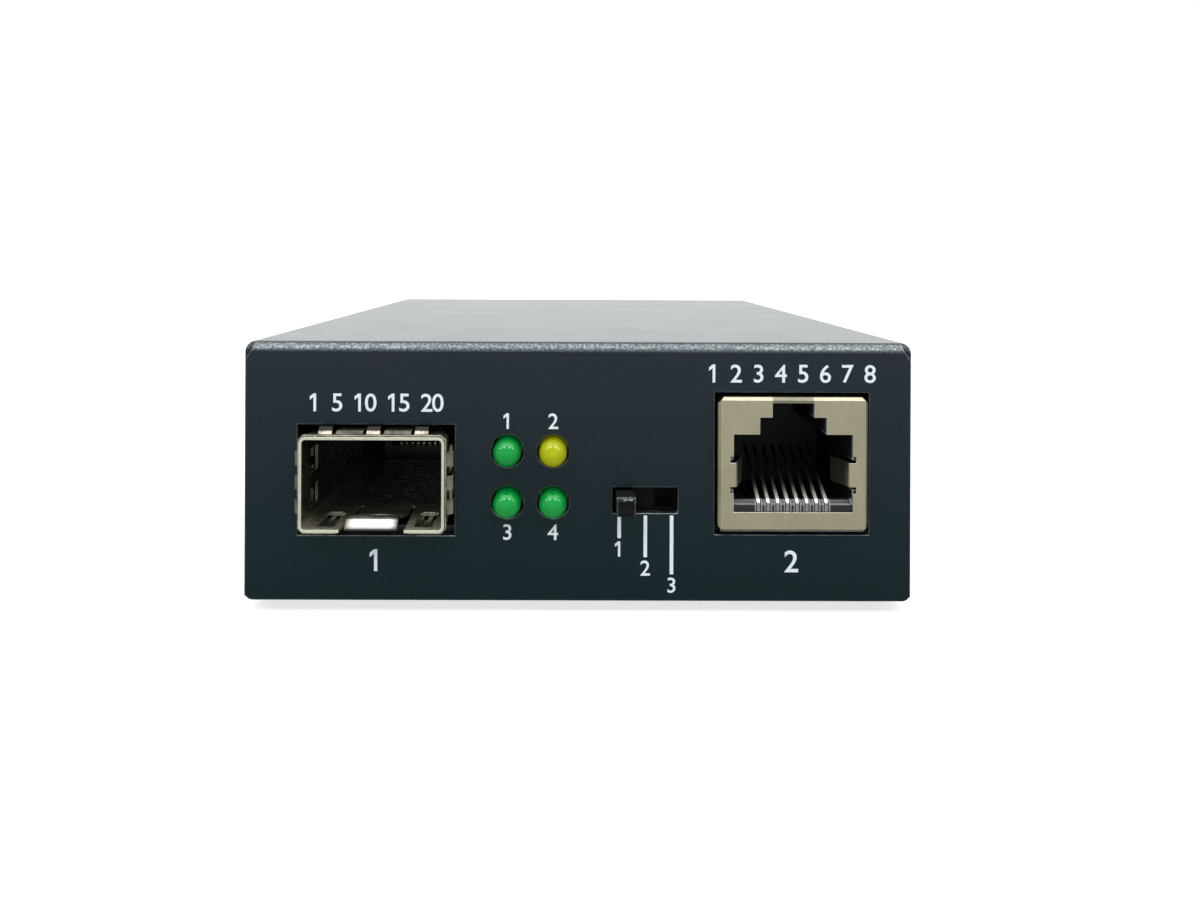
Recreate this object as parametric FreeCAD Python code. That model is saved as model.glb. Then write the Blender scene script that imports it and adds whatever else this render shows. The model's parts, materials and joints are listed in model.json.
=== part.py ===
import FreeCAD, Part
import math
import os

from FreeCAD import Vector

# Fibre media converter: a folded sheet case with a transceiver bay, four lamps, a three-position
# slide switch and a network socket on its front, and a power inlet on its rear.
# Millimetres. The front looks along -Y. Case coordinates: x from the middle of the case, y from the
# front face to the rear, z from the underside. The last section moves them to the part's own frame.

# Case
case_width = 71.0
case_height = 27.2
case_depth = 94.0
sheet = 1.0
bend_inner = 0.2
seam_gap = 0.1
slide_gap = 0.12
front_inset = 0.4
corner_drop = 1.9
bottom_corner_radius = 0.85
flange_height = 9.0
flange_margin = 6.0
relief = 0.6
vent_count = 9
vent_width = 1.6
vent_height = 9.0
vent_pitch = 4.0
vent_middle_y = 50.0
vent_middle_z = 16.0

# Case screws, one a side, countersunk with a thin wide head
case_screw_z = 4.0
case_screw_rear_y = 30.0
case_screw_shank = 2.9
case_screw_head = 5.2
case_screw_length = 4.0
thread_gap = 0.05
head_gap = 0.03
press_nut_across_flats = 4.6
press_nut_length = 1.2

# Rubber feet
foot_size = 8.0
foot_height = 1.5
foot_bevel = 0.6
foot_margin_x = 8.5
foot_margin_y = 10.0

# Circuit board, its hexagonal standoffs and its screws
standoff_height = 4.9
standoff_across_flats = 5.0
board_thickness = 1.6
board_margin_x = 4.0
board_front_y = 1.5
board_rear_gap = 3.0
board_corner = 1.5
board_hole_front = 15.5
board_hole_side = 3.5
board_hole_rear = 7.0
board_screw_shank = 2.9
board_screw_across_flats = 5.5
board_screw_head_height = 1.9
board_screw_length = 6.0
board_hole_gap = 0.15

# Transceiver cage. A place is a share of the case's width, or of its width and depth.
cage_place = -0.3
cage_width = 15.0
cage_height = 9.85
cage_lift = 0.25
cage_wall = 0.3
cage_corner = 0.7
cage_proud = 2.4
cage_rear_y = 46.0
cage_hole_side = 0.8
cage_hole_below = 0.95
cage_hole_above = 0.9
cage_pin_width = 0.7
cage_pin_spots = (9.0, 26.0, 43.0)
latch_width = 5.4
latch_gap = 0.35
latch_root_y = 7.0
latch_rise = 1.25
latch_overhang = 0.3
latch_slope = 3.5
latch_crest = 0.9
latch_drop = 0.25
latch_bend = 0.6
latch_notch_width = 2.6
latch_notch_y = 0.6
latch_notch_length = 2.6
floor_window_x = 5.1
floor_window_width = 2.0
floor_window_y = 1.2
floor_tab_width = 1.4
floor_tab_rise = 0.15
side_window_y = 3.4
side_window_low = 1.6
side_window_low_height = 2.3
side_window_high = 5.2
side_window_high_height = 2.7
window_end_y = 6.4
collar_start = 0.3
collar_band = 0.8
collar_sheet = 0.15
collar_fit = 0.02
finger_clearance = 0.12
finger_lap = 0.4
finger_rise = 0.6
finger_crest = 2.3
finger_fall = 2.6
finger_width = 1.4
finger_pitch_x = 5.0
finger_side_width = 1.5
finger_side_middle = 4.9
finger_side_pitch = 2.5
finger_wide_width = 2.8
finger_wide_height = 0.4
finger_lower_x = 5.3
finger_lower_pitch = 1.0
finger_lower_width = 0.5

# Edge connector in the cage
connector_width = 11.6
connector_height = 5.6
connector_front_y = 34.0
connector_rear_y = 44.5
connector_slot_width = 9.6
connector_slot_height = 1.9
connector_slot_depth = 7.0
connector_chamfer_width = 1.8
connector_chamfer_height = 1.6
connector_contact_y = 0.8
connector_ways = 10
connector_pitch = 0.8
connector_contact_width = 0.35
connector_contact_thickness = 0.3

# Network socket
lan_place = 0.3173
lan_width = 15.7
lan_height = 14.1
lan_depth = 18.0
lan_proud = 0.8
lan_wall = 0.25
lan_fit = 0.05
lan_bend = 0.3
lan_notch = 0.35
lan_hole_side = 0.3
lan_hole_below = 0.5
lan_hole_above = 0.42
lan_opening_width = 12.5
lan_opening_floor = 2.07
lan_opening_height = 8.15
lan_step_width = 7.0
lan_step_height = 1.78
lan_key_width = 4.4
lan_key_height = 1.52
lan_cavity_depth = 14.0
lan_tab_height = 2.5
lan_tab_rise = 2.65
lan_tab_reach = 1.35
lan_bite = 0.35
lan_ways = 8
lan_pitch = 1.02
lan_contact_width = 0.35
lan_contact_thickness = 0.25
lan_groove_gap = 0.1
lan_bar_height = 1.15
lan_bar_depth = 1.3
lan_groove_depth = 0.75
lan_wire_y = 0.1
lan_groove_rear = 0.9
lan_groove_slot = 0.6
lan_crest_bend = 0.3
lan_slope_length = 8.0
lan_slope_rise = 4.2
lan_tab_slope = 3.2
lan_tab_end = 1.6
lan_tab_lead = 0.5
lan_tab_slot = 0.3
lan_leg_width = 1.6
lan_leg_spots = (5.0, 12.0)

# Network transformer behind the socket
transformer_size = (16.0, 9.0, 4.2)
transformer_gap = 6.3
transformer_chamfer = 0.4

# Lamps: two columns by two rows
lamp_place = -0.0711
lamp_pitch_x = 4.8
lamp_pitch_z = 5.4
lamp_lower_z = 10.35
lamp_nose = 1.05
lamp_radius = 1.5
lamp_proud = 2.2
lamp_hole_gap = 0.25
lamp_seat_y = 3.2
lamp_bore_gap = 0.05
holder_front_y = 1.3
holder_depth = 7.0
holder_wall = 2.3
lead_spacing = 2.54
lead_size = 0.5
lead_bend_lower_y = 5.6
lead_bend_upper_y = 7.2
lead_below = 1.2

# Three-position slide switch
switch_place = 0.0977
switch_knob_z = 10.6
switch_travel = 4.0
switch_knob_width = 2.0
switch_knob_height = 1.96
switch_knob_proud = 2.9
switch_knob_bevel = 0.18
switch_slot_width = 6.9
switch_slot_height = 2.75
switch_slot_shift = 0.13
switch_frame_width = 11.6
switch_frame_depth = 4.6
switch_frame_wall = 0.3
switch_frame_gap = 0.4
switch_play = 0.12
slider_width = 6.6
slider_depth = 2.0
switch_bridge_thickness = 0.15
switch_bridge_height = 1.8
switch_bridge_half = 2.6
switch_bridge_foot = 0.7
switch_bridge_slope = 0.4
switch_base_depth = 1.2
switch_terminals = 4
switch_terminal_pitch = 2.5
switch_terminal_reach = 1.0
terminal_width = 0.7
terminal_thickness = 0.3

# Power inlet
inlet_place = -0.2535
inlet_width = 9.0
inlet_height = 11.0
inlet_block_depth = 12.4
inlet_centre_height = 6.4
inlet_nose_radius = 4.0
inlet_hole_gap = 0.25
inlet_bore_radius = 3.15
inlet_bore_depth = 9.5
inlet_pin_radius = 1.0
inlet_pin_recess = 0.8
inlet_edge_radius = 1.2
inlet_spring_width = 2.0
inlet_spring_thickness = 0.3
inlet_spring_y = 1.4
inlet_spring_column = 1.0
inlet_spring_slope = 4.0
inlet_spring_rise = 1.3
inlet_spring_tail = 3.5
inlet_spring_fall = 0.9
inlet_groove_gap = 0.15

# Parts on the board
chip_size = (14.0, 14.0, 1.4)
chip_place = (-0.014, 0.468)
sink_height = 8.0
sink_base = 1.5
sink_fins = 6
sink_fin_thickness = 0.9
controller_size = (8.0, 8.0, 1.0)
controller_place = (0.282, 0.532)
inductor_size = (12.0, 12.0, 7.0)
inductor_place = (0.31, 0.702)
inductor_chamfer = 1.6
crystal_size = (11.0, 4.4, 3.5)
crystal_place = (-0.028, 0.346)
large_capacitor = (5.0, 16.0)
large_capacitor_place = (0.085, 0.745)
small_capacitor = (7.3, 4.3, 2.8)
small_capacitor_place = (-0.085, 0.745)
transistor_size = (6.5, 6.0, 2.3)
transistor_tab = (5.2, 1.4, 0.5)
transistor_places = ((0.113, 0.606), (-0.056, 0.617))

# Sizes that follow from the ones above
half_width = case_width / 2
bend_outer = bend_inner + sheet
inner_half = half_width - sheet - slide_gap
board_bottom = sheet + standoff_height
board_top = board_bottom + board_thickness
board_half = half_width - board_margin_x
board_rear_y = case_depth - board_rear_gap
cage_x = case_width * cage_place
lan_x = case_width * lan_place
switch_x = case_width * switch_place
inlet_x = case_width * inlet_place
lamp_x = case_width * lamp_place
lamp_columns = (lamp_x - lamp_pitch_x / 2, lamp_x + lamp_pitch_x / 2)
lamp_rows = (lamp_lower_z, lamp_lower_z + lamp_pitch_z)
cage_bottom = board_top + cage_lift
cage_top = cage_bottom + cage_height
lan_bottom = board_top
lan_top = lan_bottom + lan_height
knob_rest_x = switch_x - switch_travel / 2
switch_frame_height = 2 * (switch_knob_z - board_top)
switch_front_y = sheet + switch_frame_gap
switch_back_y = switch_front_y + switch_frame_depth
inlet_z = board_top + inlet_centre_height
case_screw_y = case_depth - case_screw_rear_y


def box(x0, x1, y0, y1, z0, z1):
    """Block between two corners."""
    return Part.makeBox(x1 - x0, y1 - y0, z1 - z0, Vector(x0, y0, z0))


def rod(radius, start, end):
    """Round bar from one point to another."""
    axis = Vector(*end) - Vector(*start)
    return Part.makeCylinder(radius, axis.Length, Vector(*start), axis)


def union(shapes):
    """One solid of shapes that meet."""
    whole = shapes[0]
    if len(shapes) > 1:
        whole = whole.fuse(shapes[1:])
    return whole.removeSplitter()


def lifted(plane, u, v, at):
    """Point of a sketch: plane yz stands across X, xz across Y and xy across Z."""
    if plane == "yz":
        return Vector(at, u, v)
    if plane == "xz":
        return Vector(u, at, v)
    return Vector(u, v, at)


def sketch_axis(plane):
    """Direction that a sketch is extruded along."""
    return {"yz": Vector(1, 0, 0), "xz": Vector(0, 1, 0), "xy": Vector(0, 0, 1)}[plane]


def prism(points, plane, start, end):
    """Polygon extruded across its plane."""
    corners = [lifted(plane, u, v, start) for u, v in points]
    outline = Part.makePolygon(corners + corners[:1])
    return Part.Face(outline).extrude(sketch_axis(plane) * (end - start))


def strip_side(points, radius, half, side):
    """One edge of a bent strip: its straight runs and arcs as (start, middle or None, end)."""
    runs = []
    first = points[1] - points[0]
    first.normalize()
    left = Vector(-first.y, first.x, 0)
    here = points[0] + left * (half * side)
    for before, corner, after in zip(points, points[1:], points[2:]):
        ahead = corner - before
        ahead.normalize()
        beyond = after - corner
        beyond.normalize()
        turn = math.copysign(1.0, ahead.cross(beyond).z)
        angle = math.acos(max(-1.0, min(1.0, ahead.dot(beyond))))
        centre_in = Vector(-ahead.y, ahead.x, 0) * turn
        centre_out = Vector(-beyond.y, beyond.x, 0) * turn
        centre = corner - ahead * (radius * math.tan(angle / 2)) + centre_in * radius
        reach = radius - half * side * turn
        middle = centre_in + centre_out
        middle.normalize()
        arc_start = centre - centre_in * reach
        arc_end = centre - centre_out * reach
        runs.append((here, None, arc_start))
        runs.append((arc_start, centre - middle * reach, arc_end))
        here = arc_end
    last = points[-1] - points[-2]
    last.normalize()
    runs.append((here, None, points[-1] + Vector(-last.y, last.x, 0) * (half * side)))
    return runs


def creased_side(points, half, side):
    """One edge of a thin strip that is creased at its corners: straight runs that meet in mitres."""
    ways = []
    for begin, finish in zip(points, points[1:]):
        way = finish - begin
        way.normalize()
        ways.append(Vector(-way.y, way.x, 0))
    shifts = [ways[0]]
    for before, after in zip(ways, ways[1:]):
        shifts.append((before + after) * (1 / (1 + before.dot(after))))
    shifts.append(ways[-1])
    corners = [point + shift * (half * side) for point, shift in zip(points, shifts)]
    return [(begin, None, finish) for begin, finish in zip(corners, corners[1:])]


def strip(points, thickness, inside, plane, start, end):
    """Sheet bent along a centre line, with an inside radius or creased where that is 0."""
    half = thickness / 2
    line = [Vector(u, v, 0) for u, v in points]
    sides = []
    for side in (1, -1):
        if inside > 0:
            sides.append(strip_side(line, inside + half, half, side))
        else:
            sides.append(creased_side(line, half, side))
    one = sides[0]
    other = [(c, b, a) for a, b, c in reversed(sides[1])]
    around = one + [(one[-1][2], None, other[0][0])] + other + [(other[-1][2], None, one[0][0])]
    edges = []
    for begin, middle, finish in around:
        a = lifted(plane, begin.x, begin.y, start)
        c = lifted(plane, finish.x, finish.y, start)
        if middle is None:
            edges.append(Part.LineSegment(a, c).toShape())
        else:
            edges.append(Part.Arc(a, lifted(plane, middle.x, middle.y, start), c).toShape())
    return Part.Face(Part.Wire(edges)).extrude(sketch_axis(plane) * (end - start))


def fillet_along(shape, radius, axis, wanted):
    """Round the straight edges that run along an axis and whose middle is wanted."""
    chosen = []
    for edge in shape.Edges:
        ends = [vertex.Point for vertex in edge.Vertexes]
        if len(ends) == 2 and abs(abs((ends[1] - ends[0]).normalize().dot(axis)) - 1) < 1e-6:
            if wanted(edge.CenterOfMass):
                chosen.append(edge)
    return shape.makeFillet(radius, chosen)


def round_bar(x, z0, z1, width, y0, y1, corner):
    """Solid bar along Y with rounded corners, centred on x."""
    bar = box(x - width / 2, x + width / 2, y0, y1, z0, z1)
    return fillet_along(bar, corner, Vector(0, 1, 0), lambda point: True)


def cut_bar(x, z0, z1, width, y0, y1, corner):
    """Solid bar along Y with flat corners that touch a round of the given radius, centred on x."""
    bar = box(x - width / 2, x + width / 2, y0, y1, z0, z1)
    edges = [edge for edge in bar.Edges if edge.BoundBox.YLength > (y1 - y0) / 2]
    return bar.makeChamfer(corner * (2 - math.sqrt(2)), edges)


def revolve(points, origin, axis, across):
    """Half profile of (out from the axis, along the axis) turned all the way round."""
    corners = [Vector(*origin) + across * out + axis * along for out, along in points]
    face = Part.Face(Part.makePolygon(corners + corners[:1]))
    return face.revolve(Vector(*origin), axis, 360)


def hexagon(u, v, across_flats):
    """Corners of a hexagon."""
    reach = across_flats / math.sqrt(3)
    angles = [math.radians(60 * i) for i in range(6)]
    return [(u + reach * math.cos(angle), v + reach * math.sin(angle)) for angle in angles]


def cross_recess(size, depth):
    """Cross-shaped driver recess about Z, from z = 0 down."""
    arm = size * 0.17
    tip = 0.45
    half = size / 2
    blades = []
    for turn in (0, 90):
        blade = prism([(-half, 0.01), (half, 0.01), (half * tip, -depth), (-half * tip, -depth)],
                      "xz", -arm, arm)
        blade.rotate(Vector(0, 0, 0), Vector(0, 0, 1), turn)
        blades.append(blade)
    return union(blades)


# Case


def board_screw_spots():
    """Where the board is screwed down: one spot behind the front panel and two at the rear corners."""
    rear = board_rear_y - board_hole_rear
    side = board_half - board_hole_side
    return [(0.0, board_front_y + board_hole_front), (-side, rear), (side, rear)]


def front_openings():
    """Cutters for the bay, the socket, the lamps and the switch in the front panel."""
    depth = (-1.0, sheet + 0.5)
    cage_half = cage_width / 2 + cage_hole_side
    bay = box(cage_x - cage_half, cage_x + cage_half, *depth,
              cage_bottom - cage_hole_below, cage_top + cage_hole_above)
    lan_half = lan_width / 2 + lan_hole_side
    socket = box(lan_x - lan_half, lan_x + lan_half, *depth,
                 lan_bottom - lan_hole_below, lan_top + lan_hole_above)
    way_x = switch_x + switch_slot_shift
    way = box(way_x - switch_slot_width / 2, way_x + switch_slot_width / 2, *depth,
              switch_knob_z - switch_slot_height / 2, switch_knob_z + switch_slot_height / 2)
    lamps = [rod(lamp_radius + lamp_hole_gap, (x, depth[0], z), (x, depth[1], z))
             for x in lamp_columns for z in lamp_rows]
    return [bay, socket, way] + lamps


def side_vents():
    """Cutters for the row of upright slots through both side walls."""
    first = vent_middle_y - (vent_pitch * (vent_count - 1) + vent_width) / 2
    low = vent_middle_z - vent_height / 2
    return [box(-case_width, case_width, first + vent_pitch * i, first + vent_pitch * i + vent_width,
                low, low + vent_height) for i in range(vent_count)]


def screw_sinks():
    """Countersunk holes for the case screws in the cover's sides."""
    sinks = []
    hole = case_screw_shank / 2 + head_gap
    head = case_screw_head / 2 + head_gap
    profile = [(0, -sheet), (hole, -sheet), (head, 0), (0, 0)]
    for way in (-1, 1):
        sinks.append(revolve(profile, (way * half_width, case_screw_y, case_screw_z), Vector(way, 0, 0),
                             Vector(0, 1, 0)))
    return sinks


def cover():
    """Folded cover: top, both sides and the front panel."""
    mid = sheet / 2
    side = half_width - mid
    top = case_height - mid
    walls = strip([(-side, 0), (-side, top), (side, top), (side, 0)], sheet, bend_inner, "xz",
                  sheet + seam_gap, case_depth)
    bend_half = half_width - bend_outer
    walls = walls.cut(box(-bend_half, bend_half, 0, bend_outer, case_height - 2 * sheet, case_height + 1))
    front_half = half_width - front_inset
    front = strip([(mid, 0), (mid, top), (bend_outer + sheet, top)], sheet, bend_inner, "yz",
                  -front_half, front_half)
    front = fillet_along(front, bottom_corner_radius, Vector(0, 1, 0),
                         lambda point: point.z < 0.01 and abs(point.x) > front_half - 0.01)
    for way in (-1, 1):
        corner = [(way * bend_half, case_height + 1), (way * bend_half, case_height - bend_outer / 2),
                  (way * front_half, case_height - corner_drop), (way * (half_width + 1),
                  case_height - corner_drop), (way * (half_width + 1), case_height + 1)]
        front = front.cut(prism(corner, "xz", -1.0, 3 * sheet))
    whole = union([walls, front])
    return whole.cut(front_openings() + side_vents() + screw_sinks())


def base():
    """Folded base: floor, two low side flanges with press nuts, and the rear panel."""
    mid = sheet / 2
    side = inner_half - mid
    tray = strip([(-side, flange_height), (-side, mid), (side, mid), (side, flange_height)], sheet,
                 bend_inner, "xz", flange_margin, case_depth - flange_margin)
    flat_half = inner_half - bend_outer - relief
    front_edge = sheet + seam_gap
    apron = box(-inner_half, inner_half, front_edge, flange_margin - relief, 0, sheet)
    neck = box(-flat_half, flat_half, flange_margin - relief, flange_margin + 1, 0, sheet)
    rear_top = case_height - sheet - slide_gap
    start = case_depth - flange_margin - 1
    rear = strip([(start, mid), (case_depth - mid, mid), (case_depth - mid, rear_top)], sheet, bend_inner,
                 "yz", -inner_half, inner_half)
    for way in (-1, 1):
        ends = sorted((way * flat_half, way * (inner_half + 1)))
        rear = rear.cut(box(*ends, start - 1, case_depth - flange_margin + relief, -1, 2 * sheet))
    whole = [tray, apron, neck, rear]
    for way in (-1, 1):
        near, far = sorted((way * (inner_half - mid), way * (inner_half - sheet - press_nut_length)))
        whole.append(prism(hexagon(case_screw_y, case_screw_z, press_nut_across_flats), "yz", near, far))
    body = union(whole)
    cuts = [rod(case_screw_shank / 2 + thread_gap, (-case_width, case_screw_y, case_screw_z),
                (case_width, case_screw_y, case_screw_z))]
    for x, y in board_screw_spots():
        cuts.append(prism(hexagon(x, y, standoff_across_flats + 2 * thread_gap), "xy", -1, sheet + 1))
    cuts.append(rod(inlet_nose_radius + inlet_hole_gap, (inlet_x, case_depth - 2 * sheet, inlet_z),
                    (inlet_x, case_depth + 1, inlet_z)))
    return body.cut(cuts)


def case_screws():
    """Two thin-headed countersunk screws through the cover's sides into the base's press nuts."""
    screws = []
    head = case_screw_head / 2
    shank = case_screw_shank / 2
    profile = [(0, -case_screw_length), (shank, -case_screw_length), (shank, -sheet), (head, 0), (0, 0)]
    for way in (-1, 1):
        screw = revolve(profile, (0, 0, 0), Vector(0, 0, 1), Vector(1, 0, 0))
        screw = screw.cut(cross_recess(case_screw_head * 0.55, sheet * 0.8))
        screw.rotate(Vector(0, 0, 0), Vector(0, 1, 0), 90 * way)
        screw.translate(Vector(way * half_width, case_screw_y, case_screw_z))
        screws.append(screw)
    return Part.makeCompound(screws)


def foot(x, y):
    """Square stick-on rubber foot under the floor, bevelled round its lower edge."""
    half = foot_size / 2
    pad = box(x - half, x + half, y - half, y + half, -foot_height, 0)
    rim = [edge for edge in pad.Edges if edge.BoundBox.ZMax < 0.01 - foot_height]
    return pad.makeChamfer(foot_bevel, rim)


# Circuit board and what holds it


def standoffs():
    """Hexagonal pillars pressed through the floor, each with a threaded bore."""
    pillars = []
    for x, y in board_screw_spots():
        pillar = prism(hexagon(x, y, standoff_across_flats), "xy", 0, board_bottom)
        pillars.append(pillar.cut(rod(board_screw_shank / 2 + thread_gap, (x, y, -1), (x, y, board_top))))
    return Part.makeCompound(pillars)


def board_screws():
    """Three hexagon-head screws that clamp the board onto its pillars."""
    screws = []
    for x, y in board_screw_spots():
        head = prism(hexagon(x, y, board_screw_across_flats), "xy", board_top,
                     board_top + board_screw_head_height)
        shank = rod(board_screw_shank / 2, (x, y, board_top - board_screw_length), (x, y, board_top))
        screws.append(union([head, shank]))
    return Part.makeCompound(screws)


def lead_spots():
    """Where the lamps' leads go down through the board."""
    return [(x + way * lead_spacing / 2, y) for x in lamp_columns for way in (-1, 1)
            for y in (lead_bend_lower_y, lead_bend_upper_y)]


def terminal_spots():
    """Where the switch's terminals go down through the board."""
    first = switch_x - switch_terminal_pitch * (switch_terminals - 1) / 2
    y = switch_back_y + switch_base_depth + switch_terminal_reach
    return [(first + switch_terminal_pitch * i, y) for i in range(switch_terminals)]


def circuit_board():
    """Board with its screw holes and the holes for pins, legs, pegs and leads."""
    board = box(-board_half, board_half, board_front_y, board_rear_y, board_bottom, board_top)
    board = fillet_along(board, board_corner, Vector(0, 0, 1), lambda point: True)
    rounds = [(x, y, board_screw_shank / 2 + board_hole_gap) for x, y in board_screw_spots()]
    slots = []
    for way in (-1, 1):
        for y in cage_pin_spots:
            slots.append((cage_x + way * (cage_width - cage_wall) / 2, y, cage_wall, cage_pin_width))
        for y in lan_leg_spots:
            slots.append((lan_x + way * (lan_width - lan_wall) / 2, y, lan_wall, lan_leg_width))
    slots += [(x, y, lead_size, lead_size) for x, y in lead_spots()]
    slots += [(x, y, terminal_width, terminal_thickness) for x, y in terminal_spots()]
    through = (board_bottom - 1, board_top + 1)
    cuts = [rod(radius, (x, y, through[0]), (x, y, through[1])) for x, y, radius in rounds]
    for x, y, wide, deep in slots:
        cuts.append(box(x - wide / 2 - board_hole_gap, x + wide / 2 + board_hole_gap,
                        y - deep / 2 - board_hole_gap, y + deep / 2 + board_hole_gap, *through))
    return board.cut(cuts)


# Transceiver bay


def transceiver_cage():
    """Cage for a small pluggable transceiver: a rounded sheet tube with a latch tongue."""
    front = -cage_proud
    shell = round_bar(cage_x, cage_bottom, cage_top, cage_width, front, cage_rear_y, cage_corner)
    inside = cut_bar(cage_x, cage_bottom + cage_wall, cage_top - cage_wall, cage_width - 2 * cage_wall,
                        front - 1, cage_rear_y - cage_wall, cage_corner - cage_wall)
    shell = shell.cut(inside)
    floor = (cage_bottom - 0.1, cage_bottom + cage_wall + 0.1)
    half = latch_width / 2
    mouth = prism([(cage_x - half - 2 * latch_gap, front - 1), (cage_x + half + 2 * latch_gap, front - 1),
                   (cage_x + half + latch_gap, latch_root_y), (cage_x - half - latch_gap, latch_root_y)],
                  "xy", *floor)
    under = box(cage_x - connector_width / 2 - 0.5, cage_x + connector_width / 2 + 0.5,
                connector_front_y - 3, cage_rear_y - 3 * cage_wall, *floor)
    cuts = [mouth, under]
    for way in (-1, 1):
        middle = cage_x + way * floor_window_x
        cuts.append(box(middle - floor_window_width / 2, middle + floor_window_width / 2,
                        front + floor_window_y, front + window_end_y, *floor))
        near, far = sorted((cage_x + way * (cage_width / 2 - 1), cage_x + way * (cage_width / 2 + 1)))
        for low, tall in ((side_window_low, side_window_low_height),
                          (side_window_high, side_window_high_height)):
            cuts.append(box(near, far, front + side_window_y, front + window_end_y,
                            cage_bottom + low, cage_bottom + low + tall))
    shell = shell.cut(cuts)
    level = cage_bottom + cage_wall / 2
    tongue = strip([(latch_root_y + 0.5, level), (latch_root_y - latch_slope, level),
                    (front + latch_crest, level + latch_rise), (front - latch_overhang, level + latch_drop)],
                   cage_wall, latch_bend, "yz", cage_x - half, cage_x + half)
    notch_half = latch_notch_width / 2
    notch_rear = latch_notch_y + latch_notch_length
    notch = prism([(cage_x - notch_half, notch_rear), (cage_x + notch_half, notch_rear),
                   (cage_x, latch_notch_y)], "xy", cage_bottom - 1, cage_bottom + 3)
    pieces = [shell, tongue.cut(notch)]
    for way in (-1, 1):
        middle = cage_x + way * floor_window_x
        pieces.append(box(middle - floor_tab_width / 2, middle + floor_tab_width / 2,
                          front + window_end_y - cage_wall / 3, front + window_end_y + cage_wall * 2 / 3,
                          cage_bottom, cage_bottom + cage_wall + floor_tab_rise))
        near, far = sorted((cage_x + way * (cage_width / 2 - cage_wall), cage_x + way * cage_width / 2))
        for y in cage_pin_spots:
            pieces.append(box(near, far, y - cage_pin_width / 2, y + cage_pin_width / 2,
                              board_bottom - 1.0, cage_bottom + cage_corner + 0.5))
    return union(pieces)


def spring_finger(height, middle, width, side):
    """Bowed contact finger on one face of the cage, fixed to the band at its front end."""
    root = collar_band - cage_proud + collar_fit
    seat = collar_fit + collar_sheet / 2
    top = root + finger_rise
    crest = top + finger_crest
    points = [(root - finger_lap, seat), (root, seat), (top, height), (crest, height * 0.85),
              (crest + finger_fall, min(height, seat + collar_sheet * 0.7))]
    flat = strip(points, collar_sheet, 0, "yz", -width / 2, width / 2)
    if side == "top":
        return flat.translate(Vector(middle, 0, cage_top))
    if side == "bottom":
        flat.rotate(Vector(0, 0, 0), Vector(0, 1, 0), 180)
        return flat.translate(Vector(middle, 0, cage_bottom))
    way = 1 if side == "right" else -1
    flat.rotate(Vector(0, 0, 0), Vector(0, 1, 0), 90 * way)
    return flat.translate(Vector(cage_x + way * cage_width / 2, 0, middle))


def cage_spring_collar():
    """Thin band round the cage's mouth with bowed fingers that meet the panel's edges."""
    grow = collar_fit
    wide = collar_fit + collar_sheet
    start = collar_start - cage_proud
    end = collar_band - cage_proud + collar_sheet
    outer = cut_bar(cage_x, cage_bottom - wide, cage_top + wide, cage_width + 2 * wide, start, end,
                    cage_corner + wide)
    inner = cut_bar(cage_x, cage_bottom - grow, cage_top + grow, cage_width + 2 * grow, start - 1, end + 1,
                    cage_corner)
    mouth = latch_width / 2 + 3 * latch_gap
    band = outer.cut([inner, box(cage_x - mouth, cage_x + mouth, start - 1, end + 1, cage_bottom - 1,
                                 cage_bottom + 0.5)])
    tall = cage_hole_above - finger_clearance
    pieces = [band]
    for i in (-1, 0, 1):
        pieces.append(spring_finger(tall, cage_x + finger_pitch_x * i, finger_width, "top"))
        for side in ("left", "right"):
            pieces.append(spring_finger(cage_hole_side - finger_clearance,
                                        cage_bottom + finger_side_middle + finger_side_pitch * i,
                                        finger_side_width, side))
    for way in (-1, 1):
        pieces.append(spring_finger(finger_wide_height, cage_x + way * finger_pitch_x / 2,
                                    finger_wide_width, "top"))
        for i in (-1, 0, 1):
            pieces.append(spring_finger(cage_lift / 2,
                                        cage_x + way * (finger_lower_x + finger_lower_pitch * i),
                                        finger_lower_width, "bottom"))
    return union(pieces)


def cage_connector():
    """Edge connector at the back of the bay, with the slot that takes a transceiver's card edge."""
    half = connector_width / 2
    top = board_top + connector_height
    body = box(cage_x - half, cage_x + half, connector_front_y, connector_rear_y, board_top, top)
    slope = connector_chamfer_height / connector_chamfer_width
    body = body.cut(prism([(connector_front_y - 1, top + 1),
                           (connector_front_y - 1, top - connector_chamfer_height - slope),
                           (connector_front_y + connector_chamfer_width + 1 / slope, top + 1)],
                          "yz", cage_x - half - 1, cage_x + half + 1))
    middle = board_top + connector_height / 2
    slot_half = connector_slot_width / 2
    mouth = box(cage_x - slot_half, cage_x + slot_half, connector_front_y - 1,
                connector_front_y + connector_slot_depth, middle - connector_slot_height / 2,
                middle + connector_slot_height / 2)
    return body.cut(mouth)


def cage_connector_contacts():
    """Two rows of flat contacts on the floor and the ceiling of the edge connector's slot."""
    contacts = []
    first = cage_x - connector_pitch * (connector_ways - 1) / 2
    middle = board_top + connector_height / 2
    reach = connector_slot_height / 2
    thick = connector_contact_thickness
    for i in range(connector_ways):
        x = first + connector_pitch * i
        for low in (middle - reach, middle + reach - thick):
            contacts.append(box(x - connector_contact_width / 2, x + connector_contact_width / 2,
                                connector_front_y + connector_contact_y,
                                connector_front_y + connector_slot_depth,
                                low, low + thick))
    return Part.makeCompound(contacts)


# Network socket


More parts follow.
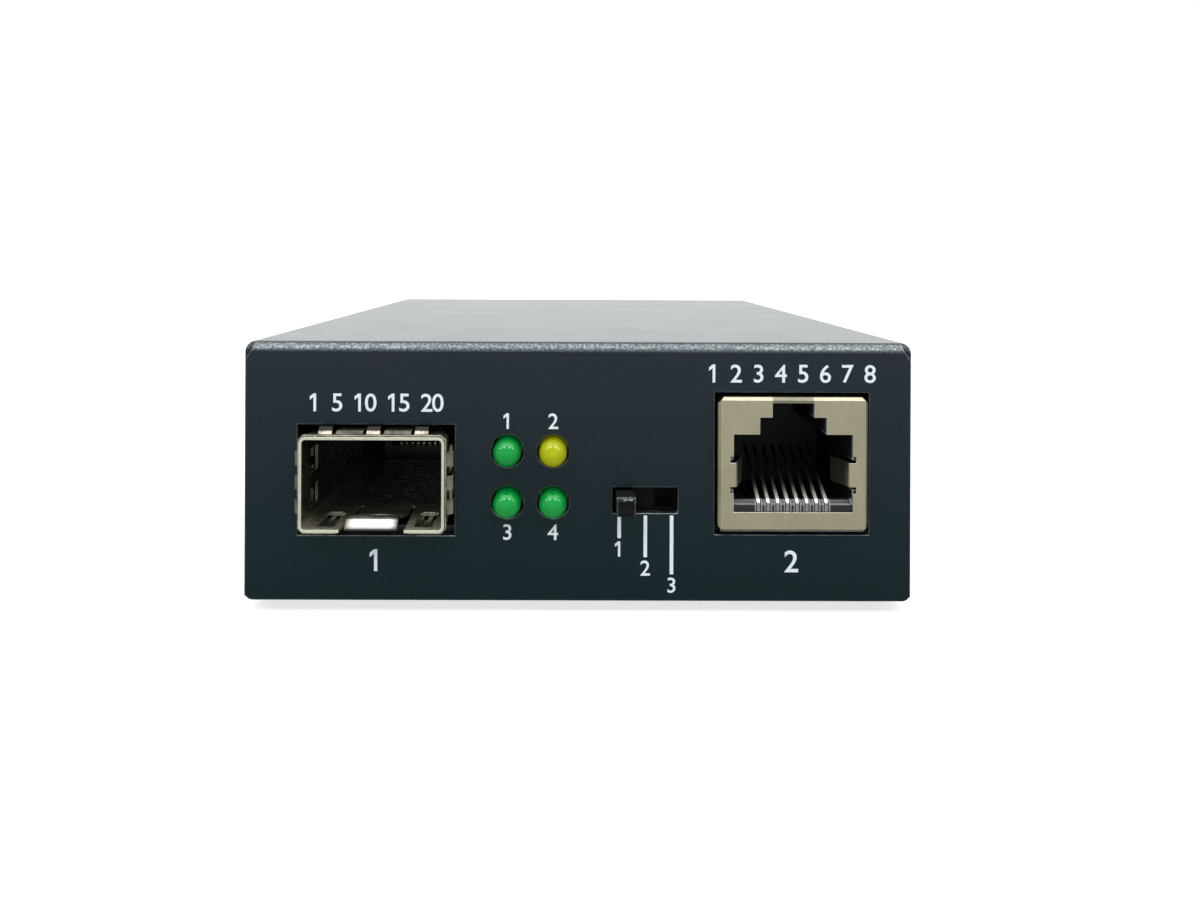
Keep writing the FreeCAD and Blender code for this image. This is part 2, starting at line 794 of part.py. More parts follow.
def lan_opening(start, end):
    """Stepped mouth of the network socket: body, shoulder and latch key."""
    floor = lan_bottom + lan_opening_floor
    shoulder = floor + lan_opening_height
    step = shoulder + lan_step_height
    key = step + lan_key_height
    half = [(lan_opening_width / 2, floor), (lan_opening_width / 2, shoulder), (lan_step_width / 2, shoulder),
            (lan_step_width / 2, step), (lan_key_width / 2, step), (lan_key_width / 2, key)]
    points = [(lan_x + x, z) for x, z in half] + [(lan_x - x, z) for x, z in reversed(half)]
    return prism(points, "xz", start, end)


def lan_tab_levels():
    """Lower and upper edge of the side spring tabs."""
    low = lan_bottom + lan_opening_floor + lan_tab_rise
    return low, low + lan_tab_height


def lan_jack_shield():
    """Folded metal shield with the stepped mouth, side spring tabs and soldered legs."""
    half = lan_width / 2
    front = -lan_proud
    rear = front + lan_depth
    outer = box(lan_x - half, lan_x + half, front, rear, lan_bottom, lan_top)
    bends = [edge for edge in outer.Edges if edge.BoundBox.YMax < front + 0.01
             or (edge.BoundBox.ZMin > lan_top - 0.01 and edge.BoundBox.YLength > 1)]
    outer = outer.makeChamfer(lan_bend, bends)
    hollow = box(lan_x - half + lan_wall, lan_x + half - lan_wall, front + lan_wall, rear - lan_wall,
                 lan_bottom - 1, lan_top - lan_wall)
    cuts = [hollow, lan_opening(front - 1, front + 1)]
    low, high = lan_tab_levels()
    for way in (-1, 1):
        edge = lan_x + way * lan_opening_width / 2
        for z in (low - lan_bite, high + lan_bite):
            cuts.append(box(edge - lan_bite, edge + lan_bite, front - 1, front + 2 * lan_wall,
                            z - lan_bite, z + lan_bite))
        near, far = sorted((lan_x + way * (half - lan_notch), lan_x + way * (half + 1)))
        for z0, z1 in ((lan_top - lan_notch, lan_top + 1), (lan_bottom - 1, lan_bottom + lan_notch)):
            cuts.append(box(near, far, front - 1, front + lan_notch, z0, z1))
    shield = outer.cut(cuts)
    pieces = [shield]
    level = front + lan_wall / 2
    for way in (-1, 1):
        edge = lan_opening_width / 2
        points = [(edge + lan_wall, level), (edge - lan_wall, level),
                  (edge - lan_tab_reach, level + lan_tab_slope),
                  (edge - lan_tab_reach + lan_tab_lead, level + lan_tab_slope + lan_tab_end)]
        points = [(lan_x + way * u, v) for u, v in points]
        pieces.append(strip(points, lan_wall, 0.2, "xy", low, high))
        near, far = sorted((lan_x + way * (half - lan_wall), lan_x + way * half))
        for y in lan_leg_spots:
            pieces.append(box(near, far, y - lan_leg_width / 2, y + lan_leg_width / 2,
                              board_bottom - 1.0, lan_bottom + 1))
    return union(pieces)


def lan_grooves():
    """Cutters for the eight contact grooves of the housing."""
    floor = lan_bottom + lan_opening_floor
    front = lan_wall - lan_proud
    half = lan_contact_width / 2 + lan_groove_gap
    first = lan_x - lan_pitch * (lan_ways - 1) / 2
    cuts = []
    rear = lan_cavity_depth - lan_groove_rear
    for i in range(lan_ways):
        x = first + lan_pitch * i
        cuts.append(box(x - half, x + half, front - 1, rear, floor - lan_groove_depth, floor + 2))
        cuts.append(box(x - half, x + half, rear - lan_groove_slot, rear, lan_bottom - 1, floor + 2))
    return cuts


def lan_jack_housing():
    """Moulded body of the socket: plug cavity and front bar, with grooves for the contacts."""
    half = lan_width / 2 - lan_wall - lan_fit
    front = lan_wall - lan_proud + lan_fit
    rear = lan_depth - lan_proud - lan_wall - lan_fit
    body = box(lan_x - half, lan_x + half, front, rear, lan_bottom, lan_top - lan_wall - lan_fit)
    low, high = lan_tab_levels()
    cuts = [lan_opening(front - 1, lan_cavity_depth)]
    for way in (-1, 1):
        near, far = sorted((lan_x + way * (lan_opening_width / 2 - 0.1), lan_x + way * (half - lan_wall)))
        slot_end = front + lan_tab_slope + lan_tab_end + 2 * lan_tab_slot
        cuts.append(box(near, far, front - 1, slot_end, low - lan_tab_slot, high + lan_tab_slot))
    floor = lan_bottom + lan_opening_floor
    bar = box(lan_x - lan_opening_width / 2, lan_x + lan_opening_width / 2, front, front + lan_bar_depth,
              floor - 0.2, floor + lan_bar_height)
    edges = [edge for edge in bar.Edges if edge.BoundBox.ZMin > floor + 0.1 and edge.BoundBox.XLength > 1]
    bar = bar.makeChamfer(lan_bar_height * 0.3, edges)
    return union([body.cut(cuts), bar]).cut(lan_grooves())


def lan_jack_contacts():
    """Eight sprung wires that rise through the front bar's grooves and slope back into the cavity."""
    floor = lan_bottom + lan_opening_floor
    run = floor - lan_groove_depth + lan_contact_thickness / 2
    column = lan_wall - lan_proud + lan_wire_y + lan_contact_thickness / 2
    tail = lan_cavity_depth - lan_groove_rear - lan_groove_slot / 2
    crest = floor + lan_bar_height
    line = [(tail, lan_bottom), (tail, run), (column, run), (column, crest - lan_crest_bend),
            (column + lan_crest_bend, crest), (column + lan_slope_length, crest + lan_slope_rise)]
    first = lan_x - lan_pitch * (lan_ways - 1) / 2
    wires = []
    for i in range(lan_ways):
        x = first + lan_pitch * i
        wires.append(strip(line, lan_contact_thickness, 0, "yz", x - lan_contact_width / 2,
                           x + lan_contact_width / 2))
    return Part.makeCompound(wires)


def lan_transformer():
    """Leadless network transformer, a low block with bevelled upper edges."""
    wide, deep, tall = transformer_size
    start = lan_depth - lan_proud + transformer_gap
    block = box(lan_x - wide / 2, lan_x + wide / 2, start, start + deep, board_top, board_top + tall)
    edges = [edge for edge in block.Edges if edge.BoundBox.ZMin > board_top + tall - 0.01]
    return block.makeChamfer(transformer_chamfer, edges)


# Lamps


def lamp(x, z):
    """Round epoxy lamp along Y, narrowing to a blunt nose."""
    tip = -lamp_proud
    back = lamp_seat_y
    profile = [(0, tip), (lamp_radius * 0.55, tip), (lamp_radius, tip + lamp_nose),
               (lamp_radius, back), (0, back)]
    return revolve(profile, (x, 0, z), Vector(0, 1, 0), Vector(1, 0, 0))


def lamp_holder():
    """Black block that holds the four lamps in line with their holes."""
    x0 = lamp_columns[0] - holder_wall
    x1 = lamp_columns[1] + holder_wall
    rear = holder_front_y + holder_depth
    block = box(x0, x1, holder_front_y, rear, board_top, lamp_rows[1] + holder_wall)
    cuts = []
    half = lamp_radius + lamp_bore_gap
    for x in lamp_columns:
        for z in lamp_rows:
            cuts.append(box(x - half, x + half, holder_front_y - 1, lamp_seat_y + 1, z - half, z + half))
        cuts.append(box(x - half, x + half, lamp_seat_y, rear + 1, board_top - 1, lamp_rows[1] + half))
    return block.cut(cuts)


def lamp_leads():
    """Two square leads from each lamp's back, bent down and through the board."""
    leads = []
    start = lamp_seat_y
    for z, bend in zip(lamp_rows, (lead_bend_lower_y, lead_bend_upper_y)):
        for x in lamp_columns:
            for way in (-1, 1):
                middle = x + way * lead_spacing / 2
                line = [(start, z), (bend, z), (bend, board_bottom - lead_below)]
                leads.append(strip(line, lead_size, 0, "yz", middle - lead_size / 2, middle + lead_size / 2))
    return Part.makeCompound(leads)


# Slide switch


def switch_frame():
    """Folded metal frame of the switch with the slot that its knob runs in."""
    half = switch_frame_width / 2
    wall = switch_frame_wall
    z0 = board_top
    z1 = board_top + switch_frame_height
    shell = box(switch_x - half, switch_x + half, switch_front_y, switch_back_y, z0, z1)
    hollow = box(switch_x - half + wall, switch_x + half - wall, switch_front_y + wall, switch_back_y + 1,
                 z0 + wall, z1 - wall)
    way = (switch_travel + switch_knob_width) / 2 + 2 * switch_play
    run = box(switch_x - way, switch_x + way, switch_front_y - 1, switch_front_y + wall + 0.1,
              switch_knob_z - switch_knob_height / 2 - switch_play,
              switch_knob_z + switch_knob_height / 2 + switch_play)
    return shell.cut([hollow, run])


def switch_knob():
    """Knob and the slider behind it, at the first of the three positions."""
    wall = switch_frame_wall
    back = switch_front_y + wall + switch_play
    nub = box(knob_rest_x - switch_knob_width / 2, knob_rest_x + switch_knob_width / 2, -switch_knob_proud,
              back + 0.5, switch_knob_z - switch_knob_height / 2, switch_knob_z + switch_knob_height / 2)
    edges = [edge for edge in nub.Edges if edge.BoundBox.YMin < 0.01 - switch_knob_proud]
    nub = nub.makeChamfer(switch_knob_bevel, edges)
    tall = switch_frame_height / 2 - wall - switch_play
    slider = box(knob_rest_x - slider_width / 2, knob_rest_x + slider_width / 2, back, back + slider_depth,
                 switch_knob_z - tall, switch_knob_z + tall)
    return union([nub, slider])


def switch_contact():
    """Sprung bridge on the back of the slider, which wipes over the fixed contacts."""
    start = switch_front_y + switch_frame_wall + switch_play + slider_depth
    gap = switch_back_y - start
    thick = switch_bridge_thickness
    near = start + thick / 2
    far = start + gap - switch_play - thick / 2
    foot = switch_bridge_foot
    rise = foot + switch_bridge_slope
    fall = switch_bridge_half - foot - switch_bridge_slope
    line = [(foot, near), (rise, far), (fall, far), (fall + switch_bridge_slope, near),
            (switch_bridge_half, near)]
    line = [(-u, v) for u, v in reversed(line)] + line
    line = [(knob_rest_x + u, v) for u, v in line]
    half = switch_bridge_height / 2
    return strip(line, thick, 0, "xy", switch_knob_z - half, switch_knob_z + half)


def switch_base():
    """Insulating plate that closes the frame's back."""
    half = switch_frame_width / 2
    return box(switch_x - half, switch_x + half, switch_back_y, switch_back_y + switch_base_depth,
               board_top, board_top + switch_frame_height)


def switch_pins():
    """Terminals from the switch's back, bent down and through the board."""
    pins = []
    start = switch_back_y + switch_base_depth
    for x, y in terminal_spots():
        line = [(start, switch_knob_z), (y, switch_knob_z), (y, board_bottom - lead_below)]
        pins.append(strip(line, terminal_thickness, 0, "yz", x - terminal_width / 2, x + terminal_width / 2))
    return Part.makeCompound(pins)


# Power inlet


def inlet_housing():
    """Moulded body of the power inlet, with a round nose flush in the rear panel."""
    half = inlet_width / 2
    face = case_depth - sheet - slide_gap
    start = face - inlet_block_depth
    body = box(inlet_x - half, inlet_x + half, start, face, board_top, board_top + inlet_height)
    body = fillet_along(body, inlet_edge_radius, Vector(0, 1, 0), lambda point: point.z > board_top + 1)
    nose = rod(inlet_nose_radius, (inlet_x, face - 1, inlet_z), (inlet_x, case_depth, inlet_z))
    bore = rod(inlet_bore_radius, (inlet_x, case_depth - inlet_bore_depth, inlet_z),
               (inlet_x, case_depth + 1, inlet_z))
    half = inlet_spring_width / 2 + inlet_groove_gap
    groove = box(inlet_x - half, inlet_x + half, start + inlet_spring_y / 2, face - sheet, board_top - 1,
                 inlet_z - inlet_bore_radius + inlet_spring_thickness * 2)
    return union([body, nose]).cut([bore, groove])


def inlet_pin():
    """Centre pin of the power inlet."""
    return rod(inlet_pin_radius, (inlet_x, case_depth - inlet_bore_depth, inlet_z),
               (inlet_x, case_depth - inlet_pin_recess, inlet_z))


def inlet_spring():
    """Sleeve contact of the power inlet: a leaf along the bore's floor and a tail onto the board."""
    face = case_depth - sheet - slide_gap
    start = face - inlet_block_depth + inlet_spring_y
    low = inlet_z - inlet_bore_radius - inlet_spring_column
    high = low + inlet_spring_rise
    crest = start + inlet_spring_slope
    line = [(start, board_top), (start, low), (crest, high),
            (crest + inlet_spring_tail, high - inlet_spring_fall)]
    return strip(line, inlet_spring_thickness, 0, "yz", inlet_x - inlet_spring_width / 2,
                 inlet_x + inlet_spring_width / 2)


# Parts on the board


def spot(place):
    """Place on the board, from its shares of the case's width and depth."""
    across, along = place
    return case_width * across, case_depth * along


def chip(size, place, chamfer):
    """Flat package on the board with a cut corner on its first-pin side."""
    wide, deep, tall = size
    x, y = spot(place)
    left = x - wide / 2
    right = x + wide / 2
    near = y - deep / 2
    far = y + deep / 2
    points = [(left + chamfer, near), (right, near), (right, far), (left, far), (left, near + chamfer)]
    return prism(points, "xy", board_top, board_top + tall)


def heat_sink():
    """Extruded aluminium heat sink on the main chip, with straight fins."""
    wide, deep, chip_height = chip_size
    x, y = spot(chip_place)
    z = board_top + chip_height
    gap = (wide - sink_fin_thickness) / (sink_fins - 1)
    points = [(x - wide / 2, z), (x + wide / 2, z)]
    for i in reversed(range(sink_fins)):
        left = x - wide / 2 + gap * i
        right = left + sink_fin_thickness
        points += [(right, z + sink_base), (right, z + sink_height), (left, z + sink_height),
                   (left, z + sink_base)]
    points = [points[0], points[1]] + points[3:-1]
    return prism(points, "xz", y - deep / 2, y + deep / 2)


def inductor():
    """Moulded power inductor: a square block with cut corners."""
    wide, deep, tall = inductor_size
    x, y = spot(inductor_place)
    block = box(x - wide / 2, x + wide / 2, y - deep / 2, y + deep / 2, board_top, board_top + tall)
    edges = [edge for edge in block.Edges if edge.BoundBox.ZLength > 1]
    return block.makeChamfer(inductor_chamfer, edges)


def capacitor(size, place):
    """Upright electrolytic capacitor."""
    radius, tall = size
    x, y = spot(place)
    return rod(radius, (x, y, board_top), (x, y, board_top + tall))


def crystal():
    """Low metal can of the crystal, with cut corners."""
    wide, deep, tall = crystal_size
    x, y = spot(crystal_place)
    can = box(x - wide / 2, x + wide / 2, y - deep / 2, y + deep / 2, board_top, board_top + tall)
    return can.makeChamfer(deep * 0.3, [edge for edge in can.Edges if edge.BoundBox.ZLength > 1])


def transistors():
    """Two power transistors with their heat tabs."""
    parts = []
    wide, deep, tall = transistor_size
    tab_wide, tab_reach, tab_tall = transistor_tab
    for place in transistor_places:
        x, y = spot(place)
        body = box(x - wide / 2, x + wide / 2, y - deep / 2, y + deep / 2, board_top, board_top + tall)
        tab = box(x - tab_wide / 2, x + tab_wide / 2, y, y + deep / 2 + tab_reach, board_top,
                  board_top + tab_tall)
        parts.append(union([body, tab]))
    return Part.makeCompound(parts)


# The whole part


def nodes():
    """Every piece by its name, in case coordinates."""
    pieces = {
        "cover": cover(),
        "base": base(),
        "cover_screws": case_screws(),
        "standoffs": standoffs(),
        "board_screws": board_screws(),
        "circuit_board": circuit_board(),
        "transceiver_cage": transceiver_cage(),
        "cage_spring_collar": cage_spring_collar(),
        "cage_connector": cage_connector(),
        "cage_connector_contacts": cage_connector_contacts(),
        "lan_jack_shield": lan_jack_shield(),
        "lan_jack_housing": lan_jack_housing(),
        "lan_jack_contacts": lan_jack_contacts(),
        "lan_transformer": lan_transformer(),
        "lamp_holder": lamp_holder(),
        "lamp_leads": lamp_leads(),
        "switch_frame": switch_frame(),
        "switch_knob": switch_knob(),
        "switch_contact": switch_contact(),
        "switch_base": switch_base(),
        "switch_terminals": switch_pins(),
        "power_inlet_housing": inlet_housing(),
        "power_inlet_pin": inlet_pin(),
        "power_inlet_spring": inlet_spring(),
        "main_chip": chip(chip_size, chip_place, 1.0),
        "heat_sink": heat_sink(),
        "power_controller_chip": chip(controller_size, controller_place, 0.6),
        "power_inductor": inductor(),
        "capacitor_large": capacitor(large_capacitor, large_capacitor_place),
        "capacitor_small": chip(small_capacitor, small_capacitor_place, 0.4),
        "crystal": crystal(),
        "power_transistors": transistors(),
    }
    for row, z in zip(("lower", "upper"), lamp_rows):
        for column, x in zip(("left", "right"), lamp_columns):
            pieces[f"lamp_{row}_{column}"] = lamp(x, z)
    for end, y in (("front", foot_margin_y), ("rear", case_depth - foot_margin_y)):
        for column, way in (("left", -1), ("right", 1)):
            pieces[f"foot_{end}_{column}"] = foot(way * (half_width - foot_margin_x), y)
    return pieces


os.makedirs("parts", exist_ok=True)
front_reach = max(switch_knob_proud, cage_proud + latch_overhang, lamp_proud, lan_proud)
to_frame = Vector(0, (front_reach - case_depth) / 2, foot_height)
for name, shape in nodes().items():
    placed = shape.copy()
    placed.translate(to_frame)
    placed.exportStep(f"parts/{name}.step")
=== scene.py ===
import json
import math

import bpy
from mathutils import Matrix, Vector


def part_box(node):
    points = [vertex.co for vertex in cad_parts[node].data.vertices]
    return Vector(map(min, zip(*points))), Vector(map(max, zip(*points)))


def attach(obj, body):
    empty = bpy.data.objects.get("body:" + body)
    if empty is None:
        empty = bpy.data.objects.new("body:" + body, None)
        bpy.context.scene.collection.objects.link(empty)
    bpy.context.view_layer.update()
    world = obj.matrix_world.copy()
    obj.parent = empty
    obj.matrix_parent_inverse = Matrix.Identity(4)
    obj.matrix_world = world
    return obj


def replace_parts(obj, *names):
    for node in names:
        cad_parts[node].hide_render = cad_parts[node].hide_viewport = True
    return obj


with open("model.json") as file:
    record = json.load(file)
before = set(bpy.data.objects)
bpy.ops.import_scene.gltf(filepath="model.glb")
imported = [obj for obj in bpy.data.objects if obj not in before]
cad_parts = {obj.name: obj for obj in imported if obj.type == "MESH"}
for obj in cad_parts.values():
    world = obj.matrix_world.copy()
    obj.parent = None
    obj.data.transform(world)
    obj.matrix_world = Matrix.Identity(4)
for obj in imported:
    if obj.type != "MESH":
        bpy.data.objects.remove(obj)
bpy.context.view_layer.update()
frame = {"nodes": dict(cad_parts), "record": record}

# A fibre media converter: dark powder-coated case, transceiver bay, four lamps, slide switch and network
# socket. Metres, z up, the front looks along -Y.

MM = 0.001
LAMPS = ("lamp_upper_left", "lamp_upper_right", "lamp_lower_left", "lamp_lower_right")
FEET = ("foot_front_left", "foot_front_right", "foot_rear_left", "foot_rear_right")
slot_of = {part["node"]: part["material_slot"] for part in frame["record"]["subparts"]}


def middle_of(node):
    """Middle of a node's box."""
    low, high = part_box(node)
    return (low + high) / 2


# Node trees


class Wire:
    """An output of a node in a finish. Sums on it add the nodes that work them out."""

    def __init__(self, finish, socket):
        self.finish = finish
        self.socket = socket

    def maths(self, operation, first, second):
        """What a Math node makes of two values."""
        return self.finish.add("ShaderNodeMath", {"operation": operation}, {0: first, 1: second})

    def __add__(self, other):
        return self.maths("ADD", self, other)

    def __sub__(self, other):
        return self.maths("SUBTRACT", self, other)

    def __rsub__(self, other):
        return self.maths("SUBTRACT", other, self)

    def __mul__(self, other):
        return self.maths("MULTIPLY", self, other)


class Finish:
    """A material, or the studio's world, as it is built up node by node."""

    def __init__(self, name, library=bpy.data.materials):
        self.owner = library.new(name)
        self.owner.use_nodes = True
        self.tree = self.owner.node_tree
        self.tree.nodes.clear()
        self.place = self.add("ShaderNodeTexCoord", out="Object")

    def add(self, kind, settings=None, sockets=None, out=0):
        """Add a node, with its settings and its sockets' values or wires, and return one of its outputs."""
        node = self.tree.nodes.new(kind)
        for name, value in (settings or {}).items():
            setattr(node, name, value)
        for key, value in (sockets or {}).items():
            if isinstance(value, Wire):
                self.tree.links.new(value.socket, node.inputs[key])
            else:
                node.inputs[key].default_value = value
        return Wire(self, node.outputs[out]) if node.outputs else None

    def noise(self, grain, detail=3.0, roughness=0.5, stretch=(1, 1, 1)):
        """Noise from 0 to 1 with grains of that size in metres, drawn out along an axis of small stretch."""
        scales = [share / grain for share in stretch]
        where = self.add("ShaderNodeVectorMath", {"operation": "MULTIPLY"}, {0: self.place, 1: scales})
        return self.add("ShaderNodeTexNoise", {}, {"Vector": where, "Scale": 1.0, "Detail": detail,
                                                   "Roughness": roughness})

    def ramp(self, wire, low, high, start=0.0, end=1.0):
        """Straight slope from start to end as the wire goes from low to high, level beyond them."""
        return self.add("ShaderNodeMapRange", {"clamp": True},
                        {"Value": wire, "From Min": low, "From Max": high, "To Min": start, "To Max": end})

    def fall(self, wire, low, high):
        """1 up to low, and 0 from high on."""
        return self.ramp(wire, low, high, 1.0, 0.0)

    def part(self, axis, vector=None):
        """One part of the spot's place, or of another vector: X across, Y from front to back, Z up."""
        return self.add("ShaderNodeSeparateXYZ", {}, {0: vector or self.place}, out=axis)

    def away(self, wire, middle):
        """How far the wire is from a middle value, to either side."""
        return self.add("ShaderNodeMath", {"operation": "ABSOLUTE"}, {0: wire - middle})

    def mixed(self, share, first, second):
        """Colour between two others. A Mix node takes its colours at sockets 6 and 7 and gives them at 2."""
        return self.add("ShaderNodeMix", {"data_type": "RGBA"}, {0: share, 6: first, 7: second}, out=2)

    def rounded(self, radius):
        """Normal as if every edge had that radius."""
        return self.add("ShaderNodeBevel", {"samples": 6}, {"Radius": radius})

    def edges(self, radius, gain=6.0):
        """1 along sharp edges and 0 on flats."""
        flat = self.add("ShaderNodeNewGeometry", out="Normal")
        same = self.add("ShaderNodeVectorMath", {"operation": "DOT_PRODUCT"},
                        {0: self.rounded(radius), 1: flat}, out="Value")
        return self.ramp((1 - same) * gain, 0.0, 1.0)

    def bumped(self, height, depth, radius=0.0):
        """Normal of a surface whose relief is height times depth, its edges rounded to the radius."""
        sockets = {"Height": height, "Distance": depth, "Strength": 1.0}
        if radius:
            sockets["Normal"] = self.rounded(radius)
        return self.add("ShaderNodeBump", {}, sockets)

    def close(self, colour, roughness, normal, metallic=0.0, **fixed):
        """Join everything to the surface and return the material. Other inputs are named in small letters."""
        sockets = {"Base Color": colour, "Roughness": roughness, "Normal": normal, "Metallic": metallic}
        for name, value in fixed.items():
            sockets[name.replace("_", " ").title().replace("Ior", "IOR")] = value
        shader = self.add("ShaderNodeBsdfPrincipled", {}, sockets)
        self.add("ShaderNodeOutputMaterial", {}, {"Surface": shader})
        return self.owner


def rgb(red, green, blue):
    """Colour as a painter names it, 0 to 255 a channel on the sRGB curve, for a shader."""
    shares = [c / 255 for c in (red, green, blue)]
    return [s / 12.92 if s < 0.04045 else ((s + 0.055) / 1.055) ** 2.4 for s in shares] + [1.0]


# Finishes


PATCHES = (0.35, 0.65)      # between these a noise makes soft patches of two tints
WHOLE = (0.3, 0.7)          # and these hold nearly all of it
SHEET_RUB = 0.07 * MM       # width of the rubbed band along a cut edge of thin sheet
SHEET_ROUND = 0.06 * MM     # radius that such an edge seems to have


def powder_coat():
    """Satin near-black powder coat with a fine orange peel, rubbed paler along its edges, with painted shade
    down its face and painted highlights on up-facing edges and along the top bend.
    """
    f = Finish("powder_coat")
    low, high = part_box("cover")
    height = f.part("Z")
    cloud = f.noise(9 * MM, 3.0, 0.55)
    speck = f.noise(0.22 * MM, 2.0, 0.6)
    # Darker and greener at the foot, bluer at the top: painted shade down the face
    tone = f.mixed(f.ramp(height, low.z, high.z), rgb(0, 15, 17), rgb(30, 26, 36))
    tone = f.mixed(f.ramp(cloud, 0.35, 0.7, 0.0, 0.25), tone, rgb(10, 20, 23))
    tone = f.mixed(f.ramp(speck, 0.52, 0.75, 0.0, 0.25), tone, rgb(32, 38, 44))

    # Edges are rubbed paler; those that face up are paler still, as a painted highlight from the lamps above
    edge = 0.2 * MM
    rub = f.edges(edge, 7.0) * f.ramp(f.noise(1.4 * MM, 4.0, 0.7), 0.35, 0.6, 0.25, 1.0)
    lifted = f.part("Z", f.rounded(edge))
    tone = f.mixed(rub * f.ramp(lifted, 0.1, 0.5, 0.45, 0.9), tone, rgb(126, 134, 138))

    # The bent top edge of the front isn't rubbed bare as cut edges are: a painted highlight glints along its
    # crest, which also takes a clear coat
    bend = f.fall(f.part("Y"), low.y + 1.0 * MM, low.y + 1.3 * MM)
    bend = bend * f.ramp(height, high.z - 1.4 * MM, high.z - 1.0 * MM)
    # Pale painted highlight on cut edges that face up, away from the bend
    lip_highlight = rub * f.ramp(lifted, 0.25, 0.6) * (1 - bend)
    tone = f.mixed(lip_highlight * 0.8, tone, rgb(196, 202, 198))
    crest = f.ramp(height, high.z - 1.05 * MM, high.z - 0.5 * MM)
    crest = crest * f.fall(height, high.z - 0.2 * MM, high.z - 0.1 * MM)
    glint = f.ramp(f.noise(0.26 * MM, 3.0, 0.7), 0.46, 0.6)
    # Clear coat and painted highlight along the crest
    gloss_and_highlight = bend * crest * (glint * 0.7 + 0.3)
    tone = f.mixed(gloss_and_highlight * 0.45, tone, rgb(196, 202, 206))

    rough = f.ramp(cloud, *WHOLE, 0.27, 0.29) + speck * 0.05
    peel = (f.noise(0.35 * MM, 3.0, 0.6) + speck * 0.35) * (bend * 1.5 + 1.0)
    coat = f.ramp(gloss_and_highlight + rub, 0.0, 1.0)
    return f.close(tone, rough, f.bumped(peel, 0.03 * MM, 0.15 * MM), coat_weight=coat, coat_roughness=0.14,
                   specular_ior_level=0.3, specular_tint=(0.55, 0.93, 1.0, 1.0))


def cage_nickel():
    """Nickel over steel: pale cut rim, a painted highlight on the latch, and painted shade on the inner walls
    and towards the connector.
    """
    f = Finish("cage_nickel")
    low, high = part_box("transceiver_cage")
    mouth = low.y
    floor = high.z - 9.5 * MM
    half_width = (high.x - low.x) / 2
    along = f.part("Y")
    height = f.part("Z")
    aside = f.away(f.part("X"), middle_of("transceiver_cage").x)
    cloud = f.noise(3 * MM, 4.0, 0.6)
    stain = f.noise(1.1 * MM, 4.0, 0.7)
    tone = f.mixed(f.ramp(cloud, *PATCHES), rgb(186, 182, 162), rgb(150, 146, 126))
    tone = f.mixed(f.ramp(stain, 0.5, 0.75, 0.0, 0.4), tone, rgb(104, 98, 76))
    # Deeper in, the tint goes darker and bluer and less metallic: painted shade towards the connector
    deep = f.ramp(along, mouth + 5 * MM, mouth + 18 * MM)
    tone = f.mixed(deep, tone, rgb(150, 166, 166))

    # The walls inside take painted shade above the floor, and the rim is cut bright
    inside = f.fall(aside, half_width - 0.17 * MM, half_width - 0.1 * MM)
    inside = inside * f.ramp(along, mouth + 0.5 * MM, mouth + 1.0 * MM)
    wall_shade = inside * f.ramp(height, floor + 0.3 * MM, floor + 1.0 * MM)
    tone = f.mixed(wall_shade * 0.6, tone, rgb(58, 60, 56))
    rim = f.fall(along, mouth + 0.36 * MM, mouth + 0.46 * MM)
    tone = f.mixed(rim, tone, rgb(226, 232, 208))

    # The tongue that latches a module has a painted highlight down its middle and painted shade at its sides
    latch = f.fall(along, mouth + 1.6 * MM, mouth + 2.2 * MM) * f.fall(aside, 2.74 * MM, 2.8 * MM)
    latch = latch * f.fall(height, floor + 1.3 * MM, floor + 1.4 * MM)
    lit = f.fall(aside, 1.9 * MM, 2.72 * MM) * f.ramp(height, floor + 0.15 * MM, floor + 0.45 * MM, 0.05, 1.0)
    tone = f.mixed(latch, tone, f.mixed(lit, rgb(52, 48, 44), rgb(206, 204, 200)))

    worn = f.ramp(along, mouth + 0.5 * MM, mouth + 7 * MM, 0.5, 0.0)
    worn = worn * f.ramp(height, floor + 0.2 * MM, floor + 1.0 * MM, 1.0, 0.12)
    bare = 1 - worn * f.ramp(stain, *PATCHES, 0.5, 1.3) - deep * 0.35
    rough = f.ramp(stain, *WHOLE, 0.24, 0.36)
    return f.close(tone, rough, f.bumped(stain, 0.003 * MM, SHEET_ROUND), metallic=bare)


def spring_steel():
    """Thin blued spring steel of the collar, mottled, its finger tips dark."""
    f = Finish("spring_steel")
    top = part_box("cage_spring_collar")[1].z
    cloud = f.noise(1.2 * MM, 4.0, 0.65)
    marks = f.noise(0.3 * MM, 4.0, 0.65, (1, 0.2, 1))
    tone = f.mixed(f.ramp(cloud, *PATCHES), rgb(176, 170, 156), rgb(112, 108, 94))
    tone = f.mixed(f.ramp(marks, 0.5, 0.75, 0.0, 0.5), tone, rgb(84, 80, 70))
    tone = f.mixed(f.edges(SHEET_RUB) * 0.5, tone, rgb(206, 202, 190))
    tip = f.ramp(f.part("Z") + marks * (0.2 * MM), top - 0.36 * MM, top - 0.24 * MM)
    tone = f.mixed(tip, tone, rgb(38, 36, 32))
    rough = f.ramp(marks, *WHOLE, 0.28, 0.44)
    return f.close(tone, rough, f.bumped(marks, 0.006 * MM, SHEET_ROUND), metallic=1.0)


